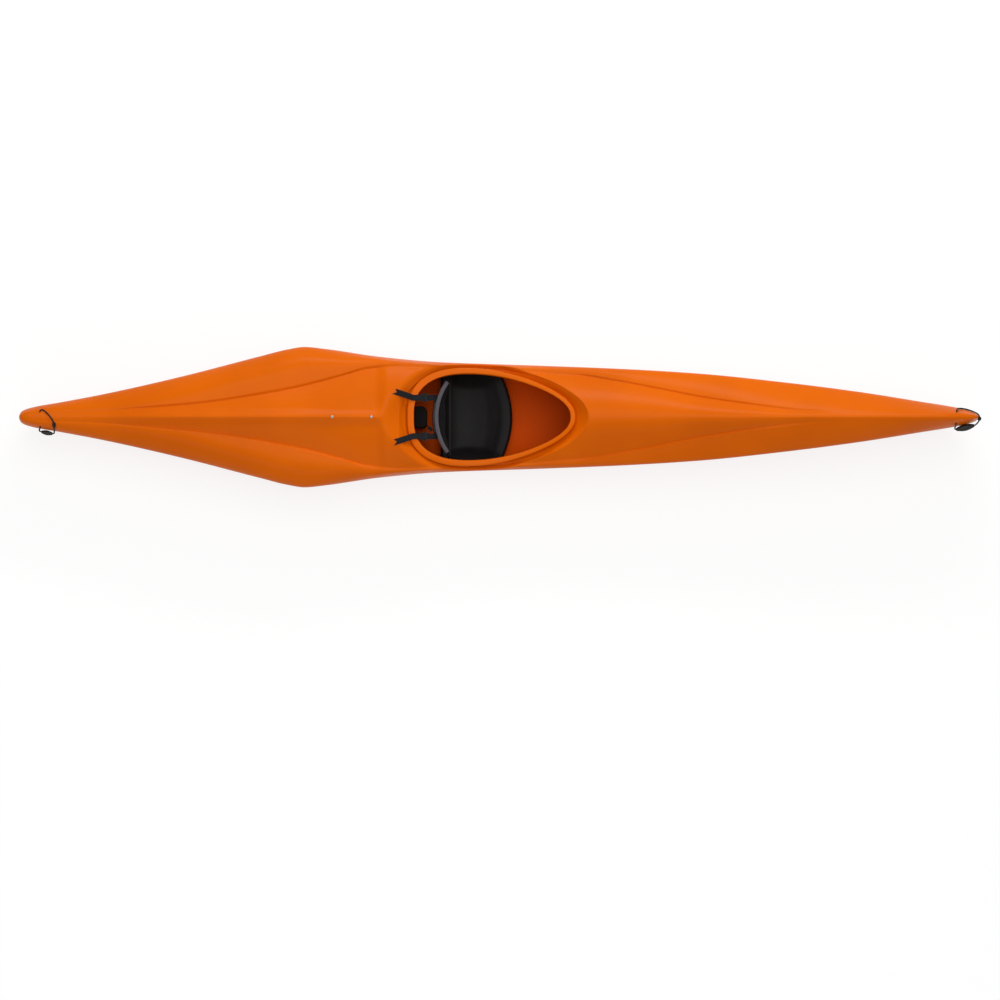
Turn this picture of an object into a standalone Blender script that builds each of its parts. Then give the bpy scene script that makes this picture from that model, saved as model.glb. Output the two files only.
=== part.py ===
"""Downriver racing kayak: a one-piece moulded hull with its seat, backband, foot braces,
pillars and grab loops. Metres, +Z up, bow at +X, port at +Y, keel flat at z = 0."""

import math

import bmesh
import bpy
import numpy as np
from mathutils import Matrix, Vector
from mathutils.bvhtree import BVHTree

# Driving dimensions of the hull
LENGTH = 4.10
BEAM = 0.60
DEPTH = 0.42
WALL = 0.005
KEEL_FLAT = 0.09
SIDE_DECK = 0.012
GAP = 0.0003

# Cockpit: the opening, its coaming and the moat around it
COCKPIT_X = -0.029
OPENING_LENGTH = 0.668
OPENING_WIDTH = 0.363
OPENING_EGG = 0.27
MOAT_EGG = 0.20
BLUNT = 0.9
LIP_WIDTH = 0.0205
LIP_THICKNESS = 0.010
COAMING_LOW_X = -0.080
COAMING_LOW = 0.287
COAMING_RISE_AFT = 0.506
COAMING_RISE_FORE = 0.352
MOAT_LOW = 0.250
MOAT_RISE_AFT = 0.656
MOAT_RISE_FORE = 0.562
NECK_HEIGHT = 0.034
MOAT_AFT = 0.030
MOAT_FORE = 0.056
MOAT_SIDE = 0.0095
BULKHEAD_SLOPE = 0.85
BLEND = 0.004

# Seat: a moulded bucket held by a bolt through each side of the hull
SEAT_REAR_X = -0.240
SEAT_FRONT_X = 0.058
SEAT_FRONT_SWEEP = 0.050
SEAT_WALL = 0.004
SEAT_SIDE_GAP = 0.006
SEAT_FOOT_GAP = 0.0008
SEAT_SKIRT_SLOPE = 0.002
SEAT_FLAT_WIDTH = 0.22
SEAT_FLAT_SHARE = 0.3
SEAT_DISH = 0.006
SEAT_COLUMNS = 10
SEAT_ROWS = [-0.02, 0.0, 0.08, 0.2, 0.36, 0.52, 0.66, 0.78, 0.88, 0.95, 1.0, 1.02]
SEAT_LINE = [(-0.240, 0.078), (-0.222, 0.060), (-0.17, 0.039), (-0.12, 0.034), (-0.05, 0.041),
             (0.0, 0.056), (0.035, 0.070), (0.058, 0.073)]
SEAT_WING_LINE = [(-0.240, 0.175), (-0.222, 0.198), (-0.19, 0.213), (-0.05, 0.212),
                  (-0.018, 0.175), (0.01, 0.12), (0.058, 0.095)]
SEAT_BOLT_X = -0.088
SEAT_BOLT_Z = 0.194

# Fastenings
BOLT_RADIUS = 0.003
HEAD_RADIUS = 0.0062
HEAD_HEIGHT = 0.0032
HEAD_SEAT = 0.0014
NUT_RADIUS = 0.0066
NUT_HEIGHT = 0.004
SPACER_RADIUS = 0.010

# Backband: a curved band that folds forward on two studs in the seat's sides
BAND_RADIUS = 0.2626
BAND_ARC_X = -0.0044
BAND_HALF_WIDTH = 0.147
BAND_LOW = 0.145
BAND_TOP = 0.285
BAND_EDGE = 0.012
BAND_SHELL = 0.004
BAND_PAD = 0.012
HINGE_X = -0.185
HINGE_Z = 0.150
HINGE_RADIUS = 0.003
LUG_RADIUS = 0.013
LUG_CLEARANCE = 0.0012

# Adjusting straps, their buckles and the cord to the pillar
STRAP_Y = 0.082
STRAP_WIDTH = 0.025
STRAP_THICKNESS = 0.0016
STRAP_START_Z = 0.262
STRAP_TAIL = 0.100
STRAP_TAIL_SPREAD = 0.026
STRAP_NOTCH = 0.007
STRAP_OVER_LIP = 0.0022
BUCKLE_WIDTH = 0.036
BUCKLE_LENGTH = 0.026
BUCKLE_FROM_EDGE = 0.034
TAB_WIDTH = 0.020
TAB_THICKNESS = 0.0014
CORD_RADIUS = 0.0022

# Foam pillars and the bracket under the rear deck
PILLAR_WIDTH = 0.091
STERN_PILLAR_X = -0.310
STERN_PILLAR_END = -1.05
BOW_PILLAR_WIDTH = 0.078
BOW_PILLAR_X = 0.60
BOW_PILLAR_END = 1.55
DECK_SCREWS_X = (-0.542, -0.708)
BRACKET_THICKNESS = 0.004
BRACKET_MARGIN = 0.022
BRACKET_DEPTH = 0.040

# Foot braces: each track is bolted through the hull's side at both of its ends
RAIL_AFT_X = 0.676
RAIL_SPAN_X = 0.369
RAIL_AFT_Z = 0.163
RAIL_FORE_Z = 0.190
RAIL_LENGTH = 0.420
RAIL_STANDOFF = 0.004
RAIL_WEB = 0.008
RAIL_WEB_DEPTH = 0.012
RAIL_FLANGE = 0.004
RAIL_WIDTH = 0.030
RAIL_BOSS = 0.011
RAIL_BOSS_GAP = 0.0012
RAIL_NOTCHES = 20
RAIL_NOTCH_PITCH = 0.0125
RAIL_NOTCH_DEPTH = 0.0035
CARRIAGE_LENGTH = 0.070
CARRIAGE_SLACK = 0.0004
CARRIAGE_WALL = 0.004
CARRIAGE_LIP = 0.005
CARRIAGE_FACE = 0.004
PEDAL_ALONG = -0.029
PEDAL_HEIGHT = 0.110
PEDAL_REACH = 0.074
PEDAL_THICKNESS = 0.007
PEDAL_RIB = 0.004
LATCH_PIVOT = 0.020
LATCH_DROP = 0.007
LATCH_REACH = 0.046
LATCH_THICKNESS = 0.010
LATCH_SIDE_GAP = 0.0005
LATCH_TOOTH = 0.0018
EAR_THICKNESS = 0.003
PIN_RADIUS = 0.0018

# Grab loops. Routes are offsets from the tips: length, side and height, knot first.
ROPE_RADIUS = 0.003
TUNNEL_GAP = 0.0004
GRIP_RADIUS = 0.009
GRIP_BORE = 0.0034
KNOT_RADIUS = 0.0075
KNOT_LENGTH = 0.016
BOW_TUNNEL = (-0.113, 0.350)
BOW_GRIP = ((-0.026, -0.036, 0.322), (-0.104, -0.054, 0.331))
BOW_ROUTE_ON = [(-0.017, -0.0255, 0.331), (-0.0255, -0.0355, 0.322)]
BOW_ROUTE_OFF = [(-0.1125, -0.0560, 0.3350), (-0.1155, -0.0520, 0.3430), (-0.113, -0.0435, 0.3497),
                 (-0.113, -0.036, 0.350), (-0.113, -0.028, 0.350), (-0.113, 0.0, 0.350),
                 (-0.113, 0.028, 0.350), (-0.113, 0.036, 0.350), (-0.113, 0.0435, 0.350),
                 (-0.1060, 0.0485, 0.3493), (-0.090, 0.0440, 0.346), (-0.050, 0.0350, 0.339),
                 (-0.020, 0.0205, 0.342), (-0.008, 0.0100, 0.3455)]
BOW_KNOT = (-0.0075, -0.0100, 0.3450)
STERN_TUNNEL = (0.093, 0.288)
STERN_GRIP = ((0.155, -0.0735, 0.262), (0.085, -0.0600, 0.262))
STERN_ROUTE_ON = [(0.1535, -0.052, 0.300), (0.1600, -0.0690, 0.280)]
STERN_ROUTE_OFF = [(0.0785, -0.0590, 0.264), (0.0745, -0.0575, 0.272), (0.082, -0.056, 0.284),
                   (0.093, -0.047, 0.288), (0.093, -0.038, 0.288), (0.093, -0.028, 0.288),
                   (0.093, 0.0, 0.288), (0.093, 0.028, 0.288), (0.093, 0.038, 0.288),
                   (0.093, 0.0465, 0.288), (0.098, 0.0510, 0.292), (0.1050, 0.0480, 0.301)]
STERN_ROUTE_DECK = [(0.1090, 0.0300), (0.1345, 0.0107), (0.1473, -0.0150)]
STERN_KNOT = (0.1530, -0.0330)

# Lines of the hull. The first number of each pair is the station, from -1 at the stern to 1
# at the bow. The second is a share of half the beam or of the depth, as the name says.
BREADTH_LINE = [(-1.0, 0.0), (-0.9985, 0.045), (-0.992, 0.092), (-0.975, 0.135), (-0.913, 0.213),
                (-0.83, 0.32), (-0.663, 0.576), (-0.497, 0.868), (-0.44, 0.965), (-0.405, 1.0),
                (-0.36, 0.97), (-0.25, 0.862), (-0.122, 0.785), (0.085, 0.735), (0.25, 0.69),
                (0.418, 0.62), (0.584, 0.502), (0.75, 0.356), (0.875, 0.22), (0.945, 0.142),
                (0.98, 0.088), (0.995, 0.042), (1.0, 0.0)]
KEEL_LINE = [(-1.0, 0.50), (-0.9985, 0.34), (-0.992, 0.20), (-0.985, 0.13), (-0.97, 0.105),
             (-0.83, 0.071), (-0.70, 0.038), (-0.58, 0.010), (-0.50, 0.0), (0.66, 0.0),
             (0.79, 0.016), (0.876, 0.038), (0.925, 0.07), (0.96, 0.143), (0.977, 0.205),
             (0.988, 0.275), (0.996, 0.375), (1.0, 0.58)]
TOP_LINE = [(-1.0, 0.60), (-0.9985, 0.665), (-0.992, 0.718), (-0.975, 0.74), (-0.912, 0.756),
            (-0.83, 0.793), (-0.663, 0.893), (-0.497, 0.955), (-0.40, 0.977), (-0.33, 0.975),
            (-0.245, 0.935), (0.0, 0.90), (0.21, 0.883), (0.293, 0.893), (0.42, 0.933),
            (0.585, 0.986), (0.75, 1.0), (0.86, 1.0), (0.917, 0.986), (0.958, 0.945),
            (0.984, 0.90), (0.992, 0.86), (0.997, 0.78), (1.0, 0.62)]
EDGE_LINE = [(-1.0, 0.55), (-0.9985, 0.60), (-0.992, 0.64), (-0.83, 0.64), (-0.405, 0.643),
             (-0.25, 0.62), (-0.12, 0.587), (0.0, 0.583), (0.085, 0.59), (0.21, 0.62),
             (0.42, 0.66), (0.54, 0.70), (0.73, 0.76), (0.86, 0.785), (0.94, 0.785),
             (0.985, 0.73), (0.997, 0.66), (1.0, 0.60)]
CREASE_LINE = [(-1.0, 0.02), (-0.975, 0.05), (-0.85, 0.07), (-0.746, 0.121), (-0.62, 0.192),
               (-0.497, 0.313), (-0.414, 0.42), (-0.33, 0.569), (-0.268, 0.683), (-0.2, 0.72),
               (0.175, 0.585), (0.227, 0.53), (0.314, 0.427), (0.418, 0.306), (0.522, 0.178),
               (0.626, 0.085), (0.75, 0.045), (0.95, 0.04), (0.99, 0.02), (1.0, 0.0)]

# More lines: the crease's drop below the ridge, the wing's crest and the turn of the bilge.
# The last is a share of the breadth at the same station.
DROP_LINE = [(-1.0, 0.004), (-0.85, 0.014), (-0.746, 0.028), (-0.60, 0.065), (-0.497, 0.095),
             (-0.414, 0.13), (-0.33, 0.15), (-0.268, 0.17), (0.175, 0.225), (0.227, 0.20),
             (0.314, 0.162), (0.418, 0.13), (0.522, 0.09), (0.626, 0.045), (0.73, 0.016),
             (0.95, 0.012), (1.0, 0.004)]
CREST_LINE = [(-1.0, 0.004), (-0.975, 0.02), (-0.75, 0.04), (-0.5, 0.10), (-0.405, 0.125),
              (-0.30, 0.11), (-0.20, 0.06), (0.2, 0.03), (0.4, 0.045), (0.6, 0.05),
              (0.85, 0.045), (0.97, 0.02), (1.0, 0.002)]
BILGE_LINE = [(-1.0, 0.75), (-0.8, 0.70), (-0.405, 0.70), (-0.1, 0.93), (0.2, 0.92), (0.5, 0.84),
              (0.8, 0.62), (1.0, 0.55)]

# Stations where sections are lofted, outside the cockpit
STERN_STATIONS = [-1.0, -0.9985, -0.992, -0.983, -0.965, -0.93, -0.87, -0.79, -0.70, -0.61,
                  -0.53, -0.47, -0.43, -0.405, -0.38, -0.34, -0.30, -0.27, -0.252, -0.238,
                  -0.226, -0.215]
BOW_STATIONS = [0.20, 0.225, 0.26, 0.31, 0.37, 0.44, 0.52, 0.60, 0.68, 0.75, 0.81, 0.86, 0.90,
                0.93, 0.955, 0.972, 0.985, 0.993, 0.998, 1.0]
CAVITY_START = -0.93
CAVITY_END = 0.92
COCKPIT_STEPS = 16
BILGE_STEPS = 7
SIDE_DECK_STEPS = 5
CENTRE_DECK_STEPS = 4


def clear_scene():
    """Remove what the file starts with."""
    for item in list(bpy.data.objects):
        bpy.data.objects.remove(item, do_unlink=True)


def new_collection(name):
    group = bpy.data.collections.new(name)
    bpy.context.scene.collection.children.link(group)
    return group


def finish(name, colour, roughness, metallic=0.0):
    """A plain finish in the piece's colour."""
    material = bpy.data.materials.new(name)
    material.use_nodes = True
    shader = material.node_tree.nodes["Principled BSDF"]
    shader.inputs["Base Color"].default_value = (*colour, 1.0)
    shader.inputs["Roughness"].default_value = roughness
    shader.inputs["Metallic"].default_value = metallic
    return material


def smooth_line(points):
    """A curve through the points that makes no false humps: each slope is the weighted
    harmonic mean of the two chords beside it, and zero where they change sign."""
    xs = np.array([p[0] for p in points])
    ys = np.array([p[1] for p in points])
    step = np.diff(xs)
    chord = np.diff(ys) / step
    slope = np.zeros(len(xs))
    slope[0] = chord[0]
    slope[-1] = chord[-1]
    for i in range(1, len(xs) - 1):
        if chord[i - 1] * chord[i] > 0:
            before = 2 * step[i] + step[i - 1]
            after = step[i] + 2 * step[i - 1]
            slope[i] = (before + after) / (before / chord[i - 1] + after / chord[i])

    def value(x):
        x = np.clip(x, xs[0], xs[-1])
        i = np.clip(np.searchsorted(xs, x, side="right") - 1, 0, len(xs) - 2)
        t = (x - xs[i]) / step[i]
        low = ys[i] * (1 + 2 * t) * (1 - t) ** 2 + ys[i + 1] * t * t * (3 - 2 * t)
        return low + step[i] * t * (1 - t) * (slope[i] * (1 - t) - slope[i + 1] * t)
    return value


breadth_share = smooth_line(BREADTH_LINE)
keel_share = smooth_line(KEEL_LINE)
top_share = smooth_line(TOP_LINE)
edge_share = smooth_line(EDGE_LINE)
crease_share = smooth_line(CREASE_LINE)
drop_share = smooth_line(DROP_LINE)
crest_share = smooth_line(CREST_LINE)
bilge_share = smooth_line(BILGE_LINE)


class Outline:
    """An egg-shaped outline around the cockpit, pointed forward. Half its width at the angle t
    round it is proportional to sin(t) ** BLUNT * (1 - egg * cos(t)), with t = 0 at the fore end."""

    def __init__(self, aft, fore, half_width, egg=OPENING_EGG):
        self.centre = (aft + fore) / 2
        self.half_length = (fore - aft) / 2
        self.egg = egg
        angles = np.linspace(0.0, math.pi, 721)
        widest = np.max(np.sin(angles) ** BLUNT * (1 - egg * np.cos(angles)))
        self.scale = half_width / float(widest)

    def half_width_at(self, x):
        p = np.clip((x - self.centre) / self.half_length, -1.0, 1.0)
        return self.scale * (1 - p * p) ** (BLUNT / 2) * (1 - self.egg * p)

    def ring(self):
        """Points from the forward end round the port side to the aft end."""
        t = np.linspace(0.0, math.pi, COCKPIT_STEPS + 1)
        x = self.centre + self.half_length * np.cos(t)
        y = self.scale * np.abs(np.sin(t)) ** BLUNT * (1 - self.egg * np.cos(t))
        y[0] = 0.0
        y[-1] = 0.0
        return x, y

    def reach(self, x, y):
        """One on the outline, less inside it and more outside."""
        p = (x - self.centre) / self.half_length
        q = y / (self.scale * (1 - self.egg * np.clip(p, -1.5, 1.5)))
        return np.sqrt(p * p + np.abs(q) ** (2 / BLUNT))

    def distance(self, x, y):
        """Distance outside the outline: the excess of reach over one, by its own slope."""
        step = 0.001
        along = (self.reach(x + step, y) - self.reach(x - step, y)) / (2 * step)
        across = (self.reach(x, y + step) - self.reach(x, y - step)) / (2 * step)
        slope = np.sqrt(along * along + across * across) + 1e-6
        return (self.reach(x, y) - 1) / slope


OPENING_AFT = COCKPIT_X - OPENING_LENGTH / 2
OPENING_FORE = COCKPIT_X + OPENING_LENGTH / 2
OPENING = Outline(OPENING_AFT, OPENING_FORE, OPENING_WIDTH / 2)
NECK = Outline(OPENING_AFT - WALL, OPENING_FORE + WALL, OPENING_WIDTH / 2 + WALL)
LIP = Outline(OPENING_AFT - LIP_WIDTH, OPENING_FORE + LIP_WIDTH, OPENING_WIDTH / 2 + LIP_WIDTH)
MOAT = Outline(OPENING_AFT - LIP_WIDTH - MOAT_AFT, OPENING_FORE + LIP_WIDTH + MOAT_FORE,
               OPENING_WIDTH / 2 + LIP_WIDTH + MOAT_SIDE, MOAT_EGG)


def saddle(x, low, rise_aft, rise_fore):
    """A height that is lowest amidships and rises with the square of the distance."""
    aft = MOAT.centre - MOAT.half_length
    fore = MOAT.centre + MOAT.half_length
    away = np.clip(x, aft, fore) - COAMING_LOW_X
    return low + np.where(away < 0, rise_aft, rise_fore) * away * away


def lip_height(x):
    return saddle(x, COAMING_LOW, COAMING_RISE_AFT, COAMING_RISE_FORE)


def neck_height(x):
    return lip_height(x) - NECK_HEIGHT


def moat_height(x):
    return saddle(x, MOAT_LOW, MOAT_RISE_AFT, MOAT_RISE_FORE)


def station(x):
    return np.asarray(x) / (LENGTH / 2)


def half_breadth(x):
    """Half the beam at x, kept wide enough for the moat and the side deck beside it."""
    inside = np.abs(x - MOAT.centre) < MOAT.half_length
    need = np.where(inside, MOAT.half_width_at(x) + SIDE_DECK, 0.0)
    return np.maximum(breadth_share(station(x)) * BEAM / 2, need)


def natural_deck(x, y):
    """The deck as it would run without a cockpit: a crowned centre panel between two creases,
    and outside them a wing that bulges above the straight line from crease to edge."""
    u = station(x)
    edge_y = half_breadth(x)
    edge_z = edge_share(u) * DEPTH
    crease_y = np.minimum(crease_share(u) * BEAM / 2, 0.96 * edge_y) + 1e-6
    top_z = top_share(u) * DEPTH
    crease_z = top_z - drop_share(u) * DEPTH
    inner = top_z - (top_z - crease_z) * (np.minimum(y / crease_y, 1.0)) ** 1.7
    s = np.clip((edge_y - y) / (edge_y - crease_y + 1e-9), 0.0, 1.0)
    outer = edge_z + (crease_z - edge_z) * s + crest_share(u) * DEPTH * 4 * s * (1 - s)
    return np.where(y < crease_y, inner, outer)


def cockpit_deck(x, y):
    """The bowl that carries the coaming: level at the neck, up to the moat's edge, and from
    there a steep slope."""
    from_neck = np.maximum(NECK.distance(x, y), 0.0)
    from_moat = MOAT.distance(x, y)
    share = np.clip(from_neck / (from_neck + np.maximum(-from_moat, 0.0) + 1e-9), 0.0, 1.0)
    bowl = neck_height(x) + (moat_height(x) - neck_height(x)) * share
    return bowl + BULKHEAD_SLOPE * np.maximum(from_moat, 0.0)


def deck_height(x, y):
    """The lower of the natural deck and the cockpit's bowl, with a rounded join."""
    a = natural_deck(x, y)
    b = cockpit_deck(x, y)
    h = np.clip(0.5 + 0.5 * (b - a) / BLEND, 0.0, 1.0)
    return b + (a - b) * h - BLEND * h * (1 - h)


def section(x, inset, inner_limit):
    """Half a cross-section at x as rows of (x, y, z), from the keel round the bilge to the edge
    and over the deck to inner_limit. The bilge is a cubic Bezier curve. An inset moves the
    curve in by that much on every side."""
    u = float(station(x))
    edge_y = float(half_breadth(x))
    edge_z = float(edge_share(u)) * DEPTH
    keel_z = float(keel_share(u)) * DEPTH + inset
    flat_y = min(KEEL_FLAT / 2, 0.4 * edge_y)
    bilge_y = edge_y * float(bilge_share(u))
    side_y = bilge_y + 0.3 * (edge_y - bilge_y)
    side_z = keel_z + 0.45 * (edge_z - keel_z)
    rows = [(x, 0.0, keel_z)]
    for t in np.linspace(0.0, 1.0, BILGE_STEPS + 1):
        weights = ((1 - t) ** 3, 3 * t * (1 - t) ** 2, 3 * t * t * (1 - t), t ** 3)
        y = np.dot(weights, (flat_y, bilge_y - inset, side_y - inset, edge_y - inset))
        z = np.dot(weights, (keel_z, keel_z, side_z, edge_z))
        rows.append((x, float(y), float(z)))
    crease_y = float(crease_share(u)) * BEAM / 2
    crease_y = min(max(crease_y, inner_limit + 0.35 * (edge_y - inner_limit)), 0.9 * edge_y)
    outer = np.linspace(edge_y, crease_y, SIDE_DECK_STEPS + 1)[1:]
    inner = np.linspace(crease_y, inner_limit, CENTRE_DECK_STEPS + 1)[1:]
    for y in np.concatenate([outer, inner]):
        z = float(deck_height(x, y)) - inset * 1.25
        rows.append((x, float(y) * (edge_y - inset) / edge_y if inset else float(y), z))
    return rows


def add_grid(mesh, rows, flip):
    """Add rows of points to the bmesh as a grid of quads."""
    grid = [[mesh.verts.new(p) for p in row] for row in rows]
    for low, high in zip(grid, grid[1:]):
        for i in range(len(low) - 1):
            quad = [low[i], low[i + 1], high[i + 1], high[i]]
            mesh.faces.new(reversed(quad) if flip else quad)
    return grid


def build_hull(group, material):
    """The one-piece shell: an outer skin, an inner skin that stops short of the solid ends, and
    between them the moat, neck and lip of the coaming. Half of it is lofted and mirrored."""
    mesh = bmesh.new()
    half = LENGTH / 2
    moat_x, moat_y = MOAT.ring()
    open_x, open_y = OPENING.ring()
    outer = [section(u * half, 0.0, 0.0) for u in STERN_STATIONS]
    inner = [section(u * half, WALL, 0.0) for u in STERN_STATIONS if u >= CAVITY_START]
    for x, y in zip(moat_x[::-1], moat_y[::-1]):
        rows = section(float(x), 0.0, float(y))
        rows[-1] = (float(x), float(y), float(moat_height(x)))
        outer.append(rows)
    inner = [row for row in inner if row[0][0] < OPENING_AFT - WALL]
    for x, y in zip(open_x[::-1], open_y[::-1]):
        rows = section(float(x), WALL, float(y))
        rows[-1] = (float(x), float(y), float(neck_height(x)) - WALL)
        inner.append(rows)
    outer += [section(u * half, 0.0, 0.0) for u in BOW_STATIONS]
    inner += [section(u * half, WALL, 0.0) for u in BOW_STATIONS
              if u <= CAVITY_END and u * half > OPENING_FORE + WALL]
    add_grid(mesh, outer, False)
    cavity = add_grid(mesh, inner, True)
    mesh.faces.new(cavity[0])
    mesh.faces.new(reversed(cavity[-1]))

    middle_x = (NECK.ring()[0] + moat_x) / 2
    middle_y = (NECK.ring()[1] + moat_y) / 2
    rings = [(moat_x, moat_y, moat_height(moat_x)),
             (middle_x, middle_y, 0.62 * neck_height(moat_x) + 0.38 * moat_height(moat_x))]
    for outline, height in ((NECK, 0.0), (NECK, NECK_HEIGHT - LIP_THICKNESS),
                            (LIP, NECK_HEIGHT - LIP_THICKNESS), (LIP, NECK_HEIGHT - 0.002),
                            (Outline(OPENING_AFT - LIP_WIDTH + 0.003,
                                     OPENING_FORE + LIP_WIDTH - 0.003,
                                     OPENING_WIDTH / 2 + LIP_WIDTH - 0.003), NECK_HEIGHT),
                            (OPENING, NECK_HEIGHT), (OPENING, -WALL)):
        x, y = outline.ring()
        rings.append((x, y, neck_height(open_x) + height))
    coaming = [[(float(a), float(b), float(c)) for a, b, c in zip(*ring)] for ring in rings]
    add_grid(mesh, coaming, False)

    bmesh.ops.remove_doubles(mesh, verts=mesh.verts, dist=1e-6)
    bmesh.ops.dissolve_degenerate(mesh, edges=mesh.edges, dist=1e-6)
    data = bpy.data.meshes.new("hull_shell")
    mesh.to_mesh(data)
    mesh.free()
    hull = bpy.data.objects.new("hull_shell", data)
    group.objects.link(hull)
    data.materials.append(material)
    mirror = hull.modifiers.new("both_sides", "MIRROR")
    mirror.use_axis = (False, True, False)
    mirror.use_clip = True
    mirror.merge_threshold = 0.00005
    return hull



class Skin:
    """Finds the hull's walls by casting rays, so that what is fitted inside follows them."""

    def __init__(self, hull):
        self.tree = BVHTree.FromObject(hull, bpy.context.evaluated_depsgraph_get())

    def cast(self, start, direction):
        place, normal, _, _ = self.tree.ray_cast(Vector(start), Vector(direction))
        return place, normal

    def inner_side(self, x, z, side=1):
        return self.cast((x, 0.0, z), (0.0, side, 0.0))

    def outer_side(self, x, z, side=1):
        return self.cast((x, side * BEAM, z), (0.0, -side, 0.0))

    def floor(self, x, y):
        return self.cast((x, y, DEPTH / 2), (0.0, 0.0, -1.0))[0].z

    def ceiling(self, x, y):
        return self.cast((x, y, DEPTH / 3), (0.0, 0.0, 1.0))[0].z

    def deck(self, x, y):
        return self.cast((x, y, 2 * DEPTH), (0.0, 0.0, -1.0))[0].z

    def keep_off(self, point, room):
        """The point, moved out from the nearest face if it is nearer than room."""
        place, normal, _, _ = self.tree.find_nearest(point)
        away = (point - place).dot(normal)
        return point + normal * (room - away) if away < room else point


def frame(origin, along, up):
    """A right-handed frame whose Z runs along and whose X is nearest to up."""
    z = Vector(along).normalized()
    x = Vector(up)
    x = (x - z * x.dot(z)).normalized()
    y = z.cross(x)
    turn = Matrix((x, y, z)).transposed().to_4x4()
    return Matrix.Translation(Vector(origin)) @ turn


def add_object(group, name, data, material=None, place=None):
    item = bpy.data.objects.new(name, data)
    group.objects.link(item)
    if material:
        data.materials.append(material)
    if place is not None:
        item.matrix_world = place
    return item


def joint_axis(group, name, place, children):
    """An empty on a joint's axis that carries the pieces that move about it."""
    axis = bpy.data.objects.new(name, None)
    axis.empty_display_size = 0.03
    group.objects.link(axis)
    axis.matrix_world = place
    bpy.context.view_layer.update()
    for child in children:
        keep = child.matrix_world.copy()
        child.parent = axis
        child.matrix_parent_inverse = axis.matrix_world.inverted()
        child.matrix_basis = keep
    return axis


def turned(group, name, profile, place, material, steps=14, closed=False):
    """A turned piece: a profile of (radius, height) points swept round its own Z axis."""
    data = bpy.data.meshes.new(name)
    points = [(radius, 0.0, height) for radius, height in profile]
    edges = [(i, i + 1) for i in range(len(points) - 1)]
    if closed:
        edges.append((len(points) - 1, 0))
    data.from_pydata(points, edges, [])
    item = add_object(group, name, data, material, place)
    spin = item.modifiers.new("turn", "SCREW")
    spin.axis = "Z"
    spin.steps = steps
    spin.render_steps = steps
    spin.use_merge_vertices = True
    spin.merge_threshold = 0.00001
    return item


def baked(group, name, source, material, place=None):
    """A curve made a mesh, with its loose caps welded. The curve is removed."""
    bpy.context.view_layer.update()
    shape = source.evaluated_get(bpy.context.evaluated_depsgraph_get())
    data = bpy.data.meshes.new_from_object(shape)
    data.name = name
    mesh = bmesh.new()
    mesh.from_mesh(data)
    bmesh.ops.remove_doubles(mesh, verts=mesh.verts, dist=0.00001)
    mesh.to_mesh(data)
    mesh.free()
    where = source.matrix_world.copy() if place is None else place
    bpy.data.objects.remove(source, do_unlink=True)
    data.materials.clear()
    return add_object(group, name, data, material, where)


def flat_piece(group, name, outlines, thickness, place, material):
    """A flat outline, with any holes, given a thickness about its own plane."""
    curve = bpy.data.curves.new(name + "_outline", "CURVE")
    curve.dimensions = "2D"
    curve.fill_mode = "BOTH"
    curve.extrude = thickness / 2
    for outline in outlines:
        spline = curve.splines.new("POLY")
        spline.points.add(len(outline) - 1)
        for point, (x, y) in zip(spline.points, outline):
            point.co = (x, y, 0.0, 1.0)
        spline.use_cyclic_u = True
    source = add_object(group, name + "_outline", curve, None, place)
    return baked(group, name, source, material)


def circle(radius, centre=(0.0, 0.0), steps=14):
    return [(centre[0] + radius * math.cos(2 * math.pi * i / steps),
             centre[1] + radius * math.sin(2 * math.pi * i / steps)) for i in range(steps)]


def rounded_box(width, height, radius, centre=(0.0, 0.0), steps=3):
    """A rectangle with round corners, as a closed outline."""
    points = []
    corners = ((1, 1, 0.0), (-1, 1, 0.5), (-1, -1, 1.0), (1, -1, 1.5))
    for side_x, side_y, start in corners:
        for i in range(steps + 1):
            angle = math.pi * (start + 0.5 * i / steps)
            points.append((centre[0] + side_x * (width / 2 - radius) + radius * math.cos(angle),
                           centre[1] + side_y * (height / 2 - radius) + radius * math.sin(angle)))
    return points


def cord_piece(group, name, points, radius, material, rounds=2):
    """A cord along a smooth curve through its route's points."""
    curve = bpy.data.curves.new(name, "CURVE")
    curve.dimensions = "3D"
    curve.bevel_depth = radius
    curve.bevel_resolution = rounds
    curve.use_fill_caps = True
    spline = curve.splines.new("POLY")
    spline.points.add(len(points) - 1)
    for point, place in zip(spline.points, points):
        point.co = (*place, 1.0)
    source = add_object(group, name + "_route", curve)
    return baked(group, name, source, material)


def smooth_route(points, spacing, closed=False):
    """A Catmull-Rom curve through the points, read at about even spacing."""
    route = [Vector(p) for p in points]
    if closed:
        route = [route[-1]] + route + [route[0], route[1]]
    else:
        route = [2 * route[0] - route[1]] + route + [2 * route[-1] - route[-2]]
    out = []
    for a, b, c, d in zip(route, route[1:], route[2:], route[3:]):
        count = max(1, round((c - b).length / spacing))
        for i in range(count):
            t = i / count
            out.append(0.5 * (2 * b + (c - a) * t + (2 * a - 5 * b + 4 * c - d) * t * t
                              + (3 * b - a - 3 * c + d) * t ** 3))
    if not closed:
        out.append(route[-2])
    return out


def loft(group, name, sections, material):
    """A solid through closed sections that have as many points each, with flat ends."""
    mesh = bmesh.new()
    rings = [[mesh.verts.new(p) for p in ring] for ring in sections]
    count = len(sections[0])
    for low, high in zip(rings, rings[1:]):
        for i in range(count):
            j = (i + 1) % count
            mesh.faces.new((low[i], low[j], high[j], high[i]))
    mesh.faces.new(reversed(rings[0]))
    mesh.faces.new(rings[-1])
    bmesh.ops.recalc_face_normals(mesh, faces=mesh.faces)
    data = bpy.data.meshes.new(name)
    mesh.to_mesh(data)
    mesh.free()
    return add_object(group, name, data, material)


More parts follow.
